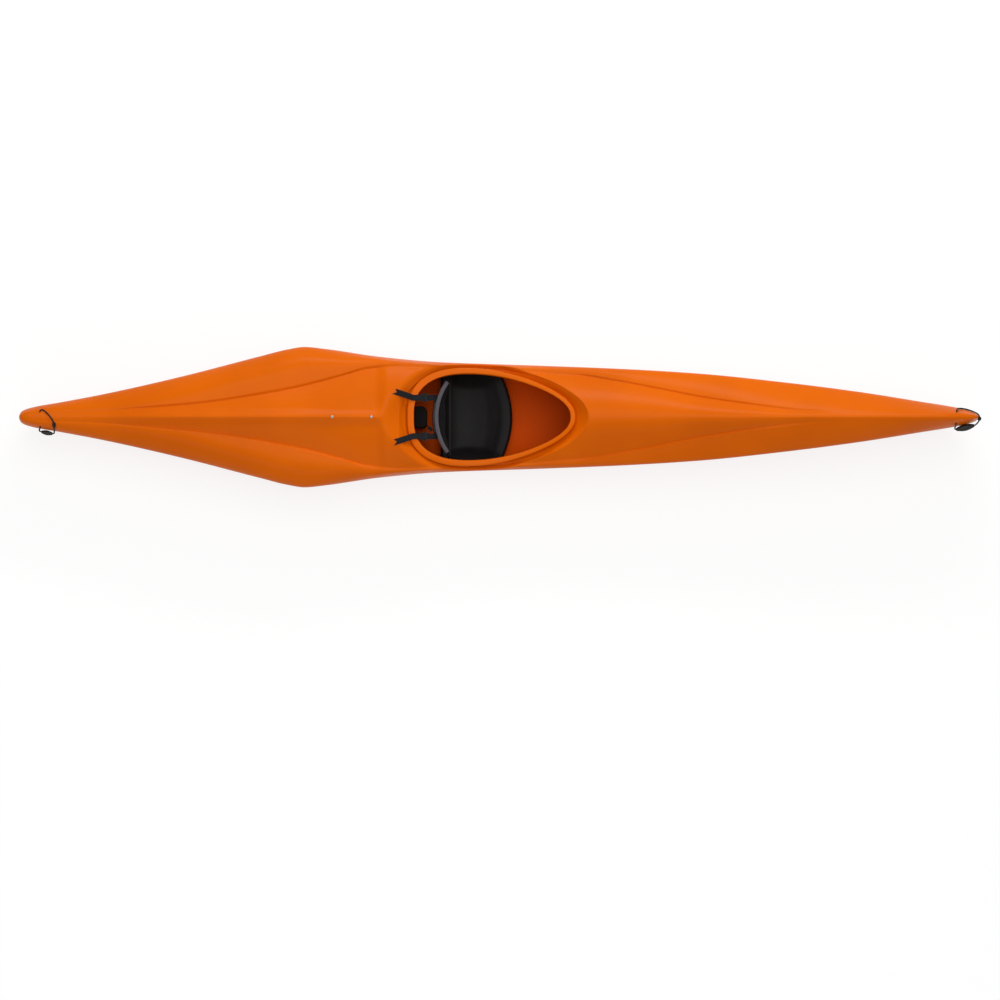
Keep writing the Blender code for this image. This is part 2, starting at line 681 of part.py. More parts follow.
def cylinder(group, name, radius, start, end, material=None, steps=16):
    """A round bar between two points."""
    start = Vector(start)
    end = Vector(end)
    mesh = bmesh.new()
    bmesh.ops.create_cone(mesh, cap_ends=True, segments=steps, radius1=radius, radius2=radius,
                          depth=(end - start).length)
    data = bpy.data.meshes.new(name)
    mesh.to_mesh(data)
    mesh.free()
    place = frame((start + end) / 2, end - start, (0.1, 0.2, 1.0))
    return add_object(group, name, data, material, place)


def block(group, name, size, place, material=None):
    """A plain block, centred on its place."""
    mesh = bmesh.new()
    bmesh.ops.create_cube(mesh, size=1.0)
    bmesh.ops.scale(mesh, vec=size, verts=mesh.verts)
    data = bpy.data.meshes.new(name)
    mesh.to_mesh(data)
    mesh.free()
    return add_object(group, name, data, material, place)


def combine(item, other, operation, cutters):
    """Join another solid to an item or cut it away; the other becomes a hidden guide."""
    for group in other.users_collection:
        group.objects.unlink(other)
    cutters.objects.link(other)
    other.hide_render = True
    other.display_type = "WIRE"
    change = item.modifiers.new(other.name, "BOOLEAN")
    change.operation = operation
    change.object = other
    change.solver = "EXACT"


def bolt_profile(shank, length, head, head_height):
    """A pan-head bolt, head up, with its seat at height zero."""
    return [(0.0, head_height), (0.55 * head, 0.94 * head_height), (0.9 * head, 0.6 * head_height),
            (head, 0.0), (shank, 0.0), (shank, -length), (0.0, -length)]


def ring_profile(inner, outer, low, high):
    return [(inner, high), (outer, high), (outer, low), (inner, low)]


def nut_profile(low, high):
    """A nut turned in six steps: its bore is measured at the middle of its flats."""
    return ring_profile((BOLT_RADIUS + GAP) / math.cos(math.pi / 6), NUT_RADIUS, low, high)


def build_seat(parts, cutters, skin, material):
    """A moulded bucket whose sides follow the hull's sides and whose front and rear skirts
    stand on its floor. Rows run from the rear skirt to the front one."""
    line = smooth_line(SEAT_LINE)
    wing = smooth_line(SEAT_WING_LINE)
    half_flat = SEAT_FLAT_WIDTH / 2
    rows = []
    for share in SEAT_ROWS:
        row = []
        skirt = share < 0 or share > 1
        for column in range(SEAT_COLUMNS + 1):
            v = column / SEAT_COLUMNS
            front = SEAT_FRONT_X - SEAT_FRONT_SWEEP * v * v
            x = SEAT_REAR_X + (front - SEAT_REAR_X) * min(max(share, 0.0), 1.0)
            low_z = float(line(SEAT_REAR_X + (SEAT_FRONT_X - SEAT_REAR_X) * share))
            if v <= SEAT_FLAT_SHARE:
                y = v / SEAT_FLAT_SHARE * half_flat
                z = low_z + SEAT_DISH * (y / half_flat) ** 2
            else:
                t = (v - SEAT_FLAT_SHARE) / (1 - SEAT_FLAT_SHARE)
                start_z = low_z + SEAT_DISH
                z = start_z + (max(float(wing(x)), start_z + 0.02) - start_z) * t ** 1.25
                wall_y = skin.inner_side(x, z)[0].y - SEAT_SIDE_GAP - SEAT_WALL
                y = half_flat + (wall_y - half_flat) * math.sin(t * math.pi / 2) ** 0.4
            if skirt:
                x += SEAT_SKIRT_SLOPE * (-1 if share < 0 else 1)
                beside = y + (SEAT_WALL + 0.003) * min(1.0, y / half_flat)
                z = min(z - 0.004, skin.floor(x, beside) + SEAT_FOOT_GAP)
            row.append((x, y, z))
        rows.append(row)
    mesh = bmesh.new()
    add_grid(mesh, rows, True)
    data = bpy.data.meshes.new("seat_pan")
    mesh.to_mesh(data)
    mesh.free()
    seat = add_object(parts, "seat_pan", data, material)
    mirror = seat.modifiers.new("both_sides", "MIRROR")
    mirror.use_axis = (False, True, False)
    mirror.use_clip = True
    mirror.merge_threshold = 0.00005
    wall = seat.modifiers.new("wall", "SOLIDIFY")
    wall.thickness = SEAT_WALL
    wall.offset = -1.0
    wall.use_even_offset = True
    bpy.context.view_layer.update()
    return seat, Skin(seat)


def tilt_room(axis, normal, radius):
    """How far a flat seat of this radius must stand off a face that leans from its axis."""
    angle = axis.angle(normal)
    angle = min(angle, math.pi - angle)
    return radius * math.tan(angle) + GAP


def build_side_bolts(parts, cutters, skin, seat_skin, hull, seat, steel, plastic):
    """The two bolts through the hull's sides that carry the seat, each with a spacer."""
    for side, word in ((1, "left"), (-1, "right")):
        outer, axis = skin.outer_side(SEAT_BOLT_X, SEAT_BOLT_Z, side)
        inner, inner_normal = skin.cast(outer - axis * 0.0005, -axis)
        near, near_normal = seat_skin.cast(inner, -axis)
        far, far_normal = seat_skin.cast(near - axis * 0.0005, -axis)
        lift = tilt_room(axis, axis, HEAD_RADIUS) + HEAD_SEAT / 4
        top = outer + axis * lift
        place = frame(top, axis, (0.0, 0.0, 1.0))
        wide = -(top - inner).dot(axis) - tilt_room(axis, inner_normal, SPACER_RADIUS)
        narrow = -(top - near).dot(axis) + tilt_room(axis, near_normal, SPACER_RADIUS)
        nut_top = -(top - far).dot(axis) - tilt_room(axis, far_normal, NUT_RADIUS)
        turned(parts, "seat_bolt_" + word,
               bolt_profile(BOLT_RADIUS, NUT_HEIGHT + 0.003 - nut_top, HEAD_RADIUS, HEAD_HEIGHT),
               place, steel)
        turned(parts, "seat_spacer_" + word,
               ring_profile(BOLT_RADIUS + GAP, SPACER_RADIUS, narrow, wide), place, plastic,
               closed=True)
        turned(parts, "seat_nut_" + word,
               nut_profile(nut_top - NUT_HEIGHT, nut_top), place,
               steel, steps=6, closed=True)
        for item, kind, start, end in ((hull, "side_hole_", 0.02, -0.009),
                                       (seat, "seat_hole_", -0.008, -0.045)):
            hole = cylinder(cutters, kind + word, BOLT_RADIUS + GAP, outer + axis * start,
                            outer + axis * end)
            combine(item, hole, "DIFFERENCE", cutters)


def band_point(radius, angle):
    """A point of the backband's plan arc."""
    return BAND_ARC_X - radius * math.cos(angle), radius * math.sin(angle)


def build_backband(parts, cutters, seat_skin, seat, shell_finish, pad_finish, steel):
    """A curved plastic band with arms to two hinge studs, and a pad on its front."""
    end = math.asin(BAND_HALF_WIDTH / BAND_RADIUS)
    arc_steps = 10
    lug_y = min(seat_skin.inner_side(HINGE_X + a * LUG_RADIUS, HINGE_Z + b * LUG_RADIUS)[0].y
                for a, b in ((-1, 0), (0, -1), (0, 0), (0, 1), (0.9, 0)))
    lug_y -= LUG_CLEARANCE + BAND_SHELL / 2
    low_end = BAND_LOW + BAND_EDGE
    top_end = BAND_TOP - BAND_EDGE
    rows = []
    for i in range(-arc_steps, arc_steps + 1):
        x, y = band_point(BAND_RADIUS + GAP + BAND_SHELL / 2, end * i / arc_steps)
        rows.append((x, y, low_end, top_end))
    start = Vector(rows[-1][:2])
    stop = Vector((HINGE_X - 1.15 * LUG_RADIUS, lug_y))
    reach = (stop - start).length
    leave = Vector((math.sin(end), math.cos(end))) * reach
    arrive = Vector((1.0, 0.0)) * reach
    arm = []
    for t in (0.3, 0.6, 0.82, 1.0):
        p = (start * (2 * t ** 3 - 3 * t * t + 1) + leave * (t ** 3 - 2 * t * t + t)
             + stop * (3 * t * t - 2 * t ** 3) + arrive * (t ** 3 - t * t))
        ease = t * t * (3 - 2 * t)
        arm.append((p.x, p.y, low_end + (HINGE_Z - LUG_RADIUS - low_end) * ease,
                    top_end + (HINGE_Z + LUG_RADIUS - top_end) * ease ** 0.7))
    for angle in (0.5, 0.27, 0.09):
        x = HINGE_X + LUG_RADIUS * math.cos(angle * math.pi)
        rise = LUG_RADIUS * math.sin(angle * math.pi)
        arm.append((x, lug_y, HINGE_Z - rise, HINGE_Z + rise))
    rows = [(a, -b, c, d) for a, b, c, d in reversed(arm)] + rows + arm
    mesh = bmesh.new()
    add_grid(mesh, [[(x, y, low), (x, y, (low + high) / 2), (x, y, high)]
                    for x, y, low, high in rows], True)
    data = bpy.data.meshes.new("backband_shell")
    mesh.to_mesh(data)
    mesh.free()
    shell = add_object(parts, "backband_shell", data, shell_finish)
    wall = shell.modifiers.new("wall", "SOLIDIFY")
    wall.thickness = BAND_SHELL
    wall.offset = 0.0
    wall.use_even_offset = True

    for side, word in ((1, "left"), (-1, "right")):
        inner, normal = seat_skin.inner_side(HINGE_X, HINGE_Z, side)
        outer, _ = seat_skin.cast(inner + Vector((0.0, side * 0.0005, 0.0)), (0.0, side, 0.0))
        room = tilt_room(Vector((0.0, side, 0.0)), normal, HEAD_RADIUS)
        base = lug_y - BAND_SHELL / 2 - GAP
        tail = abs(outer.y) + room - base
        profile = [(0.0, 0.0028), (0.6 * HEAD_RADIUS, 0.0026), (HEAD_RADIUS, 0.0008),
                   (HEAD_RADIUS, 0.0), (HINGE_RADIUS, 0.0), (HINGE_RADIUS, -tail),
                   (HEAD_RADIUS, -tail), (HEAD_RADIUS, -tail - 0.0016), (0.0, -tail - 0.0022)]
        place = frame((HINGE_X, side * base, HINGE_Z), (0.0, -side, 0.0), (0.0, 0.0, 1.0))
        turned(parts, "hinge_stud_" + word, profile, place, steel)
        for item, kind in ((shell, "lug_hole_"), (seat, "stud_hole_")):
            bore = cylinder(cutters, kind + word, HINGE_RADIUS + GAP,
                            (HINGE_X, side * (base - 0.01), HINGE_Z),
                            (HINGE_X, side * (base + tail + 0.01), HINGE_Z))
            combine(item, bore, "DIFFERENCE", cutters)

    sections = []
    for i in range(-arc_steps, arc_steps + 1):
        share = abs(i) / arc_steps
        front = []
        back = []
        for v in (0.0, 0.12, 0.5, 0.88, 1.0):
            z = BAND_LOW + (BAND_TOP - BAND_LOW) * (0.5 + (v - 0.5) * (1 - 0.12 * share ** 4))
            swell = (1 - 0.72 * share ** 6) * (1 - 0.6 * abs(2 * v - 1) ** 5)
            x, y = band_point(BAND_RADIUS, end * i / arc_steps)
            back.append((x, y, z))
            x, y = band_point(BAND_RADIUS - BAND_PAD * swell, end * i / arc_steps)
            front.append((x, y, z))
        sections.append(front + back[::-1])
    pad = loft(parts, "backband_pad", sections, pad_finish)
    joint_axis(parts, "backband_hinge", frame((HINGE_X, 0.0, HINGE_Z), (0, 1, 0), (0, 0, 1)),
               [shell, pad])


def ribbon(parts, name, centre, width, thickness, material, notch=0.0):
    """Flat webbing along a route: three points across each row, drawn in at the end by notch
    to leave a swallow tail."""
    rows = []
    for i, here in enumerate(centre):
        before = centre[max(i - 1, 0)]
        after = centre[min(i + 1, len(centre) - 1)]
        along = (after - before).normalized()
        across = Vector((0, 0, 1)).cross(along).normalized()
        middle = here - along * notch if i == len(centre) - 1 else here
        rows.append([here - across * width / 2, middle, here + across * width / 2])
    mesh = bmesh.new()
    add_grid(mesh, rows, True)
    data = bpy.data.meshes.new(name)
    mesh.to_mesh(data)
    mesh.free()
    item = add_object(parts, name, data, material)
    wall = item.modifiers.new("thickness", "SOLIDIFY")
    wall.thickness = thickness
    wall.offset = 0.0
    wall.use_even_offset = True
    return item


def band_back(y, room=0.0):
    """The backband's rear face at y, or a line that stands off it by room."""
    reach = BAND_RADIUS + GAP + BAND_SHELL + room
    return BAND_ARC_X - math.sqrt(reach * reach - y * y)


def opening_edge(y):
    """Where the opening's rear edge is at y."""
    xs = np.linspace(OPENING_AFT, COCKPIT_X, 600)
    return float(xs[int(np.argmax(OPENING.half_width_at(xs) > y))])


def strap_route(skin, side):
    """From the back of the band up to the coaming, over its lip and down on the rear deck."""
    edge_x = opening_edge(STRAP_Y)
    start_x = band_back(STRAP_Y - STRAP_WIDTH / 2) - STRAP_THICKNESS / 2 - GAP
    over = STRAP_OVER_LIP + STRAP_THICKNESS / 2
    points = [Vector((start_x, STRAP_Y, STRAP_START_Z - 0.016)),
              Vector((start_x - 0.001, STRAP_Y, STRAP_START_Z))]
    for x in (edge_x + 0.014, edge_x + 0.002, edge_x - LIP_WIDTH):
        points.append(Vector((x, STRAP_Y, float(lip_height(x)) + over)))
    points.insert(2, points[1] + (points[2] - points[1]) * 0.25 + Vector((0.0, 0.0, 0.004)))
    points.insert(3, points[1] + (points[3] - points[1]) * 0.62 + Vector((0.0, 0.0, 0.004)))
    last_x = edge_x - STRAP_TAIL
    lip_x = edge_x - LIP_WIDTH
    tail = []
    for share in (0.3, 0.6, 0.8, 1.0):
        x = lip_x + (last_x - lip_x) * share
        y = STRAP_Y + STRAP_TAIL_SPREAD * share
        rest = max(skin.deck(x + dx, y + dy) for dx in (-0.006, 0.0, 0.006)
                   for dy in (-0.6 * STRAP_WIDTH, 0.0, 0.6 * STRAP_WIDTH))
        tail.append([x, y, rest + STRAP_THICKNESS / 2 + 0.0016])
    low = points[-1].z
    for share, place in zip((0.3, 0.6, 0.8, 1.0), tail):
        place[2] = max(place[2], low + (tail[-1][2] - low) * share)
        points.append(Vector(place))
    return [Vector((p.x, side * p.y, p.z)) for p in points]


def build_straps(parts, cutters, skin, webbing, plastic):
    """Two adjusting straps, each through a ladder buckle held by a tab at the coaming."""
    for side, word in ((1, "left"), (-1, "right")):
        centre = strap_route(skin, side)
        ribbon(parts, "backband_strap_" + word, centre, STRAP_WIDTH, STRAP_THICKNESS, webbing,
               notch=STRAP_NOTCH)
        along = (centre[4] - centre[3]).normalized()
        across = Vector((0.0, 1.0, 0.0))
        normal = along.cross(across)
        if normal.z < 0:
            normal = -normal
        here = centre[4] - along * (BUCKLE_FROM_EDGE - 0.014)
        slot = STRAP_THICKNESS / 2 + 0.0006
        bars = [rounded_box(BUCKLE_WIDTH, BUCKLE_LENGTH, 0.003, (0.0, 0.0), 2)]
        for spot in (-0.0062, 0.0062):
            bars.append(rounded_box(STRAP_WIDTH + 0.002, 0.0065, 0.001, (0.0, spot), 1))
        turn = Matrix((across, along, across.cross(along))).transposed().to_4x4()
        base = Matrix.Translation(here - normal * (slot + 0.00125)) @ turn
        buckle = flat_piece(parts, "ladder_buckle_" + word, bars, 0.0025, base, plastic)
        loop = [rounded_box(BUCKLE_WIDTH, 2 * slot + 0.0045, 0.001, (0.0, 0.0), 1),
                rounded_box(STRAP_WIDTH + 0.0016, 2 * slot, 0.0003, (0.0, 0.0), 1)]
        turn = Matrix((across, normal, across.cross(normal))).transposed().to_4x4()
        arch = flat_piece(cutters, "buckle_bridge_" + word, loop, 0.005,
                          Matrix.Translation(here) @ turn, None)
        combine(buckle, arch, "UNION", cutters)

        foot_z = float(neck_height(opening_edge(STRAP_Y))) - WALL + 0.002
        walls = [skin.cast((COCKPIT_X, side * (STRAP_Y + a), foot_z), (-1.0, 0.0, 0.0))[0].x
                 for a in (-TAB_WIDTH / 2, 0.0, TAB_WIDTH / 2)]
        wall_x = max(walls) + TAB_THICKNESS / 2 + GAP
        bar = here + along * (BUCKLE_LENGTH / 2 - 0.0015) - normal * (slot + 0.0042)
        tab = [Vector((bar.x + 0.004, side * STRAP_Y, bar.z - 0.001)),
               Vector((bar.x - 0.003, side * STRAP_Y, bar.z)),
               Vector((wall_x + 0.0028, side * STRAP_Y, bar.z - 0.004)),
               Vector((wall_x, side * STRAP_Y, bar.z - 0.010)),
               Vector((wall_x, side * STRAP_Y, foot_z))]
        ribbon(parts, "buckle_tab_" + word, tab, TAB_WIDTH, TAB_THICKNESS, webbing)


def build_cord(parts, skin, material):
    """A short cord from the pillar's front corner to the back of the band, with a knot."""
    start = Vector((STERN_PILLAR_X + GAP + CORD_RADIUS, -0.034, 0.250))
    end = Vector((band_back(0.062, GAP + CORD_RADIUS), -0.062, 0.246))
    middle = (start + end) / 2 + Vector((0.0, 0.001, 0.006))
    along = (end - start).normalized()
    route = smooth_route([start - Vector((0.0, 0.0, 0.020)), start - Vector((0.0, 0.0, 0.012)),
                          start + Vector((0.0016, 0.0, 0.0)), middle - along * 0.007, middle,
                          middle + along * 0.007, end - Vector((0.0016, 0.0, 0.0)),
                          end - Vector((0.0, 0.0, 0.012)), end - Vector((0.0, 0.0, 0.020))],
                         0.004)
    cord_piece(parts, "backband_cord", route, CORD_RADIUS, material)
    bore = CORD_RADIUS + 2 * GAP
    knot = [(bore, 0.0045), (0.0038, 0.0045), (0.0052, 0.0020), (0.0052, -0.0020),
            (0.0038, -0.0045), (bore, -0.0045)]
    turned(parts, "backband_cord_knot", knot, frame(middle, along, (0, 0, 1)), material, steps=10,
           closed=True)


def skin_block(parts, name, skin, stations, half_width, top_gap, limit_x, material, round_end):
    """A foam wall on the hull's floor whose top follows the deck's inside. Past limit_x, where
    the cockpit opens, the top stays level. The end at stations[0] has round corners."""
    sections = []
    first = stations[0]
    turn = 1 if stations[-1] > first else -1
    rounded = [(0.0, 0.62), (0.15, 0.8), (0.5, 0.95), (1.0, 1.0)]
    places = [(first + turn * round_end * a, b) for a, b in rounded] + [(x, 1.0) for x in stations
              if (x - first) * turn > round_end * 1.2]
    for x, share in places:
        half = half_width * share
        read_x = min(x, limit_x) if limit_x is not None else x
        low = max(skin.floor(x, 0.0), skin.floor(x, half)) + 2 * GAP
        top = [(x, y, skin.ceiling(read_x, abs(y)) - top_gap)
               for y in (-half, -half / 2, 0.0, half / 2, half)]
        sections.append([(x, half, low), (x, -half, low)] + top)
    return loft(parts, name, sections, material)


def build_pillars(parts, cutters, skin, hull, foam, plastic, steel):
    """Foam walls under the decks, and the bracket that holds the rear one under its deck."""
    half = LENGTH / 2
    aft = [u * half for u in reversed(STERN_STATIONS) if STERN_PILLAR_END < u * half]
    brow = [OPENING_AFT, OPENING_AFT - 0.012, OPENING_AFT - 0.03, OPENING_AFT - 0.05,
            OPENING_AFT - 0.06]
    stations = [STERN_PILLAR_X] + brow + [x for x in aft if x < OPENING_AFT] + [STERN_PILLAR_END]
    skin_block(parts, "stern_pillar", skin, stations, PILLAR_WIDTH / 2, BRACKET_THICKNESS + 0.006,
               OPENING_AFT - 0.008, foam, 0.014)
    fore = [u * half for u in BOW_STATIONS if BOW_PILLAR_X < u * half < BOW_PILLAR_END]
    skin_block(parts, "bow_pillar", skin, [BOW_PILLAR_X] + fore + [BOW_PILLAR_END],
               BOW_PILLAR_WIDTH / 2, 0.0028, None, foam, 0.014)

    aft_end = min(DECK_SCREWS_X) - BRACKET_MARGIN
    fore_end = max(DECK_SCREWS_X) + BRACKET_MARGIN
    inside = [u * half for u in STERN_STATIONS if aft_end + 0.01 < u * half < fore_end - 0.01]
    inner_y = PILLAR_WIDTH / 2 + 0.0006
    outer_y = inner_y + BRACKET_THICKNESS
    sections = []
    for x in [aft_end] + inside + [fore_end]:
        top = [(x, y, skin.ceiling(x, abs(y)) - 0.0008)
               for y in (-outer_y, -outer_y / 2, 0.0, outer_y / 2, outer_y)]
        under = [(x, y, skin.ceiling(x, abs(y)) - 0.0008 - BRACKET_THICKNESS)
                 for y in (inner_y, outer_y / 2, 0.0, -outer_y / 2, -inner_y)]
        foot = under[0][2] - BRACKET_DEPTH
        sections.append(top + [(x, outer_y, foot), (x, inner_y, foot)] + under
                        + [(x, -inner_y, foot), (x, -outer_y, foot)])
    bracket = loft(parts, "pillar_bracket", sections, plastic)
    for number, x in enumerate(sorted(DECK_SCREWS_X, reverse=True), 1):
        deck_z = skin.deck(x, 0.0)
        bracket_z = skin.ceiling(x, 0.0) - 0.0008 - BRACKET_THICKNESS
        for item, word in ((hull, "deck"), (bracket, "bracket")):
            hole = cylinder(cutters, "%s_hole_%d" % (word, number), BOLT_RADIUS + GAP,
                            (x, 0.0, deck_z + 0.02), (x, 0.0, bracket_z - 0.01))
            combine(item, hole, "DIFFERENCE", cutters)
        slope = (skin.deck(x + 0.004, 0.0) - skin.deck(x - 0.004, 0.0)) / 0.008
        lift = abs(slope) * HEAD_RADIUS + GAP
        place = frame((x, 0.0, deck_z + lift), (0.0, 0.0, 1.0), (1.0, 0.0, 0.0))
        turned(parts, "deck_screw_%d" % number,
               bolt_profile(BOLT_RADIUS, deck_z + lift - bracket_z, HEAD_RADIUS, HEAD_HEIGHT),
               place, steel)


class Brace:
    """The frame of one foot brace: along the track towards the bow, outboard through the hull
    and up. Its origin is midway between the two bolts, on the hull's inner face."""

    def __init__(self, skin, side):
        self.side = side
        spots = [(RAIL_AFT_X, RAIL_AFT_Z), (RAIL_AFT_X + RAIL_SPAN_X, RAIL_FORE_Z)]
        self.inner = [skin.inner_side(x, z, side)[0] for x, z in spots]
        outer = [skin.outer_side(x, z, side) for x, z in spots]
        self.outer = [place for place, _ in outer]
        self.origin = (self.inner[0] + self.inner[1]) / 2
        self.along = (self.inner[1] - self.inner[0]).normalized()
        out = outer[0][1] + outer[1][1]
        self.out = (out - self.along * out.dot(self.along)).normalized()
        self.up = self.along.cross(self.out) * side
        self.pitch = (self.inner[1] - self.inner[0]).length

    def at(self, along, inward, up):
        return self.origin + self.along * along - self.out * inward + self.up * up

    def end_view(self, along):
        """A frame for outlines of (inward, up), given a thickness along the track."""
        turn = Matrix((-self.out, self.up, (-self.out).cross(self.up))).transposed()
        return Matrix.Translation(self.at(along, 0.0, 0.0)) @ turn.to_4x4()

    def side_view(self, inward):
        """A frame for outlines of (along, up), given a thickness across the track."""
        turn = Matrix((self.along, self.up, self.along.cross(self.up))).transposed()
        return Matrix.Translation(self.at(0.0, inward, 0.0)) @ turn.to_4x4()


def build_track(parts, cutters, brace, hull, word, alloy, steel):
    """The T-section track with a notched lower edge, its two bolts and their nuts."""
    flange_in = RAIL_STANDOFF + RAIL_WEB_DEPTH
    face_in = flange_in + RAIL_FLANGE
    web = RAIL_WEB / 2
    half = RAIL_WIDTH / 2
    profile = [(RAIL_STANDOFF, -web), (flange_in, -web), (flange_in, -half), (face_in, -half),
               (face_in, half), (flange_in, half), (flange_in, web), (RAIL_STANDOFF, web)]
    rail = flat_piece(parts, "footrest_rail_" + word, [profile], RAIL_LENGTH,
                      brace.end_view(0.0), alloy)
    first = -(RAIL_NOTCHES - 1) * RAIL_NOTCH_PITCH / 2
    notch = block(cutters, "rail_notches_" + word,
                  (0.45 * RAIL_NOTCH_PITCH, 2 * RAIL_NOTCH_DEPTH, 3 * RAIL_FLANGE),
                  brace.side_view(face_in - RAIL_FLANGE / 2)
                  @ Matrix.Translation((first, -half, 0.0)))
    row = notch.modifiers.new("row", "ARRAY")
    row.count = RAIL_NOTCHES
    row.use_relative_offset = False
    row.use_constant_offset = True
    row.constant_offset_displace = (RAIL_NOTCH_PITCH, 0.0, 0.0)
    combine(rail, notch, "DIFFERENCE", cutters)
    for number, end in enumerate((-1, 1), 1):
        spot = brace.at(end * brace.pitch / 2, 0.0, 0.0)
        boss = cylinder(cutters, "rail_boss_%s_%d" % (word, number), RAIL_BOSS,
                        spot - brace.out * RAIL_BOSS_GAP, spot - brace.out * (flange_in + 0.001))
        combine(rail, boss, "UNION", cutters)
        lift = (brace.outer[number - 1] - spot).dot(brace.out) + HEAD_SEAT
        for item, kind in ((rail, "rail_bore"), (hull, "rail_hole")):
            bore = cylinder(cutters, "%s_%s_%d" % (kind, word, number), BOLT_RADIUS + GAP,
                            spot + brace.out * 0.03, spot - brace.out * (face_in + 0.01))
            combine(item, bore, "DIFFERENCE", cutters)
        place = frame(spot + brace.out * lift, brace.out, (0.0, 0.0, 1.0))
        length = lift + face_in + NUT_HEIGHT + 0.003
        turned(parts, "rail_bolt_%s_%d" % (word, number),
               bolt_profile(BOLT_RADIUS, length, HEAD_RADIUS, HEAD_HEIGHT), place, steel)
        nut_top = -(lift + face_in + GAP)
        turned(parts, "rail_nut_%s_%d" % (word, number),
               nut_profile(nut_top - NUT_HEIGHT, nut_top), place,
               steel, steps=6, closed=True)


def build_pedal(parts, cutters, brace, word, plastic):
    """The carriage that wraps the track's flange, its footplate, two ribs and the latch's ears."""
    flange_in = RAIL_STANDOFF + RAIL_WEB_DEPTH
    face_in = flange_in + RAIL_FLANGE
    web = RAIL_WEB / 2 + CARRIAGE_SLACK
    half = RAIL_WIDTH / 2 + CARRIAGE_SLACK
    jaw = RAIL_WIDTH / 2 + CARRIAGE_WALL
    back = flange_in - CARRIAGE_LIP
    front = face_in + CARRIAGE_FACE
    near = flange_in - CARRIAGE_SLACK
    far = face_in + CARRIAGE_SLACK
    outline = [(back, -jaw), (back, -web), (near, -web), (near, -half), (far, -half), (far, half),
               (near, half), (near, web), (back, web), (back, jaw), (front, jaw), (front, -jaw)]
    pedal = flat_piece(parts, "footrest_pedal_" + word, [outline], CARRIAGE_LENGTH,
                       brace.end_view(0.0), plastic)
    foot = front - 0.001
    plate_out = [(foot, -0.17), (front + 0.010, -0.36), (front + 0.022, -0.42),
                 (front + PEDAL_REACH * 0.8, -0.42), (front + PEDAL_REACH * 0.95, -0.38),
                 (front + PEDAL_REACH, -0.28), (front + PEDAL_REACH, 0.40),
                 (front + PEDAL_REACH * 0.95, 0.52), (front + PEDAL_REACH * 0.8, 0.58),
                 (front + 0.020, 0.58), (front + 0.006, 0.46), (foot, 0.16)]
    plate_out = [(a, b * PEDAL_HEIGHT) for a, b in plate_out]
    plate = flat_piece(cutters, "pedal_plate_" + word, [plate_out], PEDAL_THICKNESS,
                       brace.end_view(PEDAL_ALONG), None)
    combine(pedal, plate, "UNION", cutters)
    last = CARRIAGE_LENGTH / 2 - 0.002
    gusset = [(PEDAL_ALONG, foot), (last, foot), (last, front + 0.006),
              (PEDAL_ALONG, front + PEDAL_REACH * 0.8)]
    turn = Matrix((brace.along, -brace.out, brace.along.cross(-brace.out))).transposed()
    for number, up in enumerate((-0.34, 0.34)):
        place = Matrix.Translation(brace.at(0.0, 0.0, up * RAIL_WIDTH)) @ turn.to_4x4()
        rib = flat_piece(cutters, "pedal_rib_%s_%d" % (word, number), [gusset], PEDAL_RIB, place,
                         None)
        combine(pedal, rib, "UNION", cutters)

    lever_in = (back + front) / 2
    pivot_up = -jaw - LATCH_DROP
    for number, offset in enumerate((-1, 1)):
        ear_in = lever_in + offset * (LATCH_THICKNESS / 2 + LATCH_SIDE_GAP + EAR_THICKNESS / 2)
        ear = [(LATCH_PIVOT + 0.006, -jaw + 0.001), (LATCH_PIVOT - 0.006, -jaw + 0.001)]
        ear += [(LATCH_PIVOT + 0.006 * math.cos(a), pivot_up + 0.006 * math.sin(a))
                for a in np.linspace(math.pi, 2 * math.pi, 7)]
        lug = flat_piece(cutters, "latch_ear_%s_%d" % (word, number), [ear], EAR_THICKNESS,
                         brace.side_view(ear_in), None)
        combine(pedal, lug, "UNION", cutters)
    reach_in = LATCH_THICKNESS / 2 + LATCH_SIDE_GAP + EAR_THICKNESS
    bore = cylinder(cutters, "latch_bore_" + word, PIN_RADIUS + GAP,
                    brace.at(LATCH_PIVOT, lever_in - reach_in - 0.002, pivot_up),
                    brace.at(LATCH_PIVOT, lever_in + reach_in + 0.002, pivot_up), steps=12)
    combine(pedal, bore, "DIFFERENCE", cutters)
    slot = block(cutters, "latch_slot_" + word,
                 (3 * LATCH_TOOTH + 0.006, 2 * CARRIAGE_WALL, LATCH_THICKNESS + 0.0012),
                 brace.side_view(lever_in) @ Matrix.Translation((0.0012, -jaw, 0.0)))
    combine(pedal, slot, "DIFFERENCE", cutters)
    return pedal, lever_in, pivot_up, reach_in


def build_latch(parts, brace, word, lever_in, pivot_up, plastic):
    """The lever under the carriage: its tooth stands just clear of the track's notches."""
    tooth_top = -RAIL_WIDTH / 2 - CARRIAGE_SLACK
    top = pivot_up + 0.0042
    lever = [(LATCH_PIVOT + 0.0042, pivot_up - 0.001), (LATCH_PIVOT + 0.003, pivot_up + 0.0032),
             (LATCH_PIVOT - 0.003, top), (LATCH_TOOTH + 0.0004, top), (LATCH_TOOTH, tooth_top),
             (-LATCH_TOOTH, tooth_top), (-LATCH_TOOTH - 0.0012, top), (-0.030, pivot_up + 0.0022),
             (-LATCH_REACH, pivot_up - 0.0045), (-LATCH_REACH - 0.005, pivot_up - 0.0095),
             (-LATCH_REACH + 0.001, pivot_up - 0.0125), (-0.030, pivot_up - 0.0065),
             (LATCH_PIVOT, pivot_up - 0.0045)]
    return flat_piece(parts, "latch_lever_" + word,
                      [lever, circle(PIN_RADIUS + GAP, (LATCH_PIVOT, pivot_up), 12)],
                      LATCH_THICKNESS, brace.side_view(lever_in), plastic)


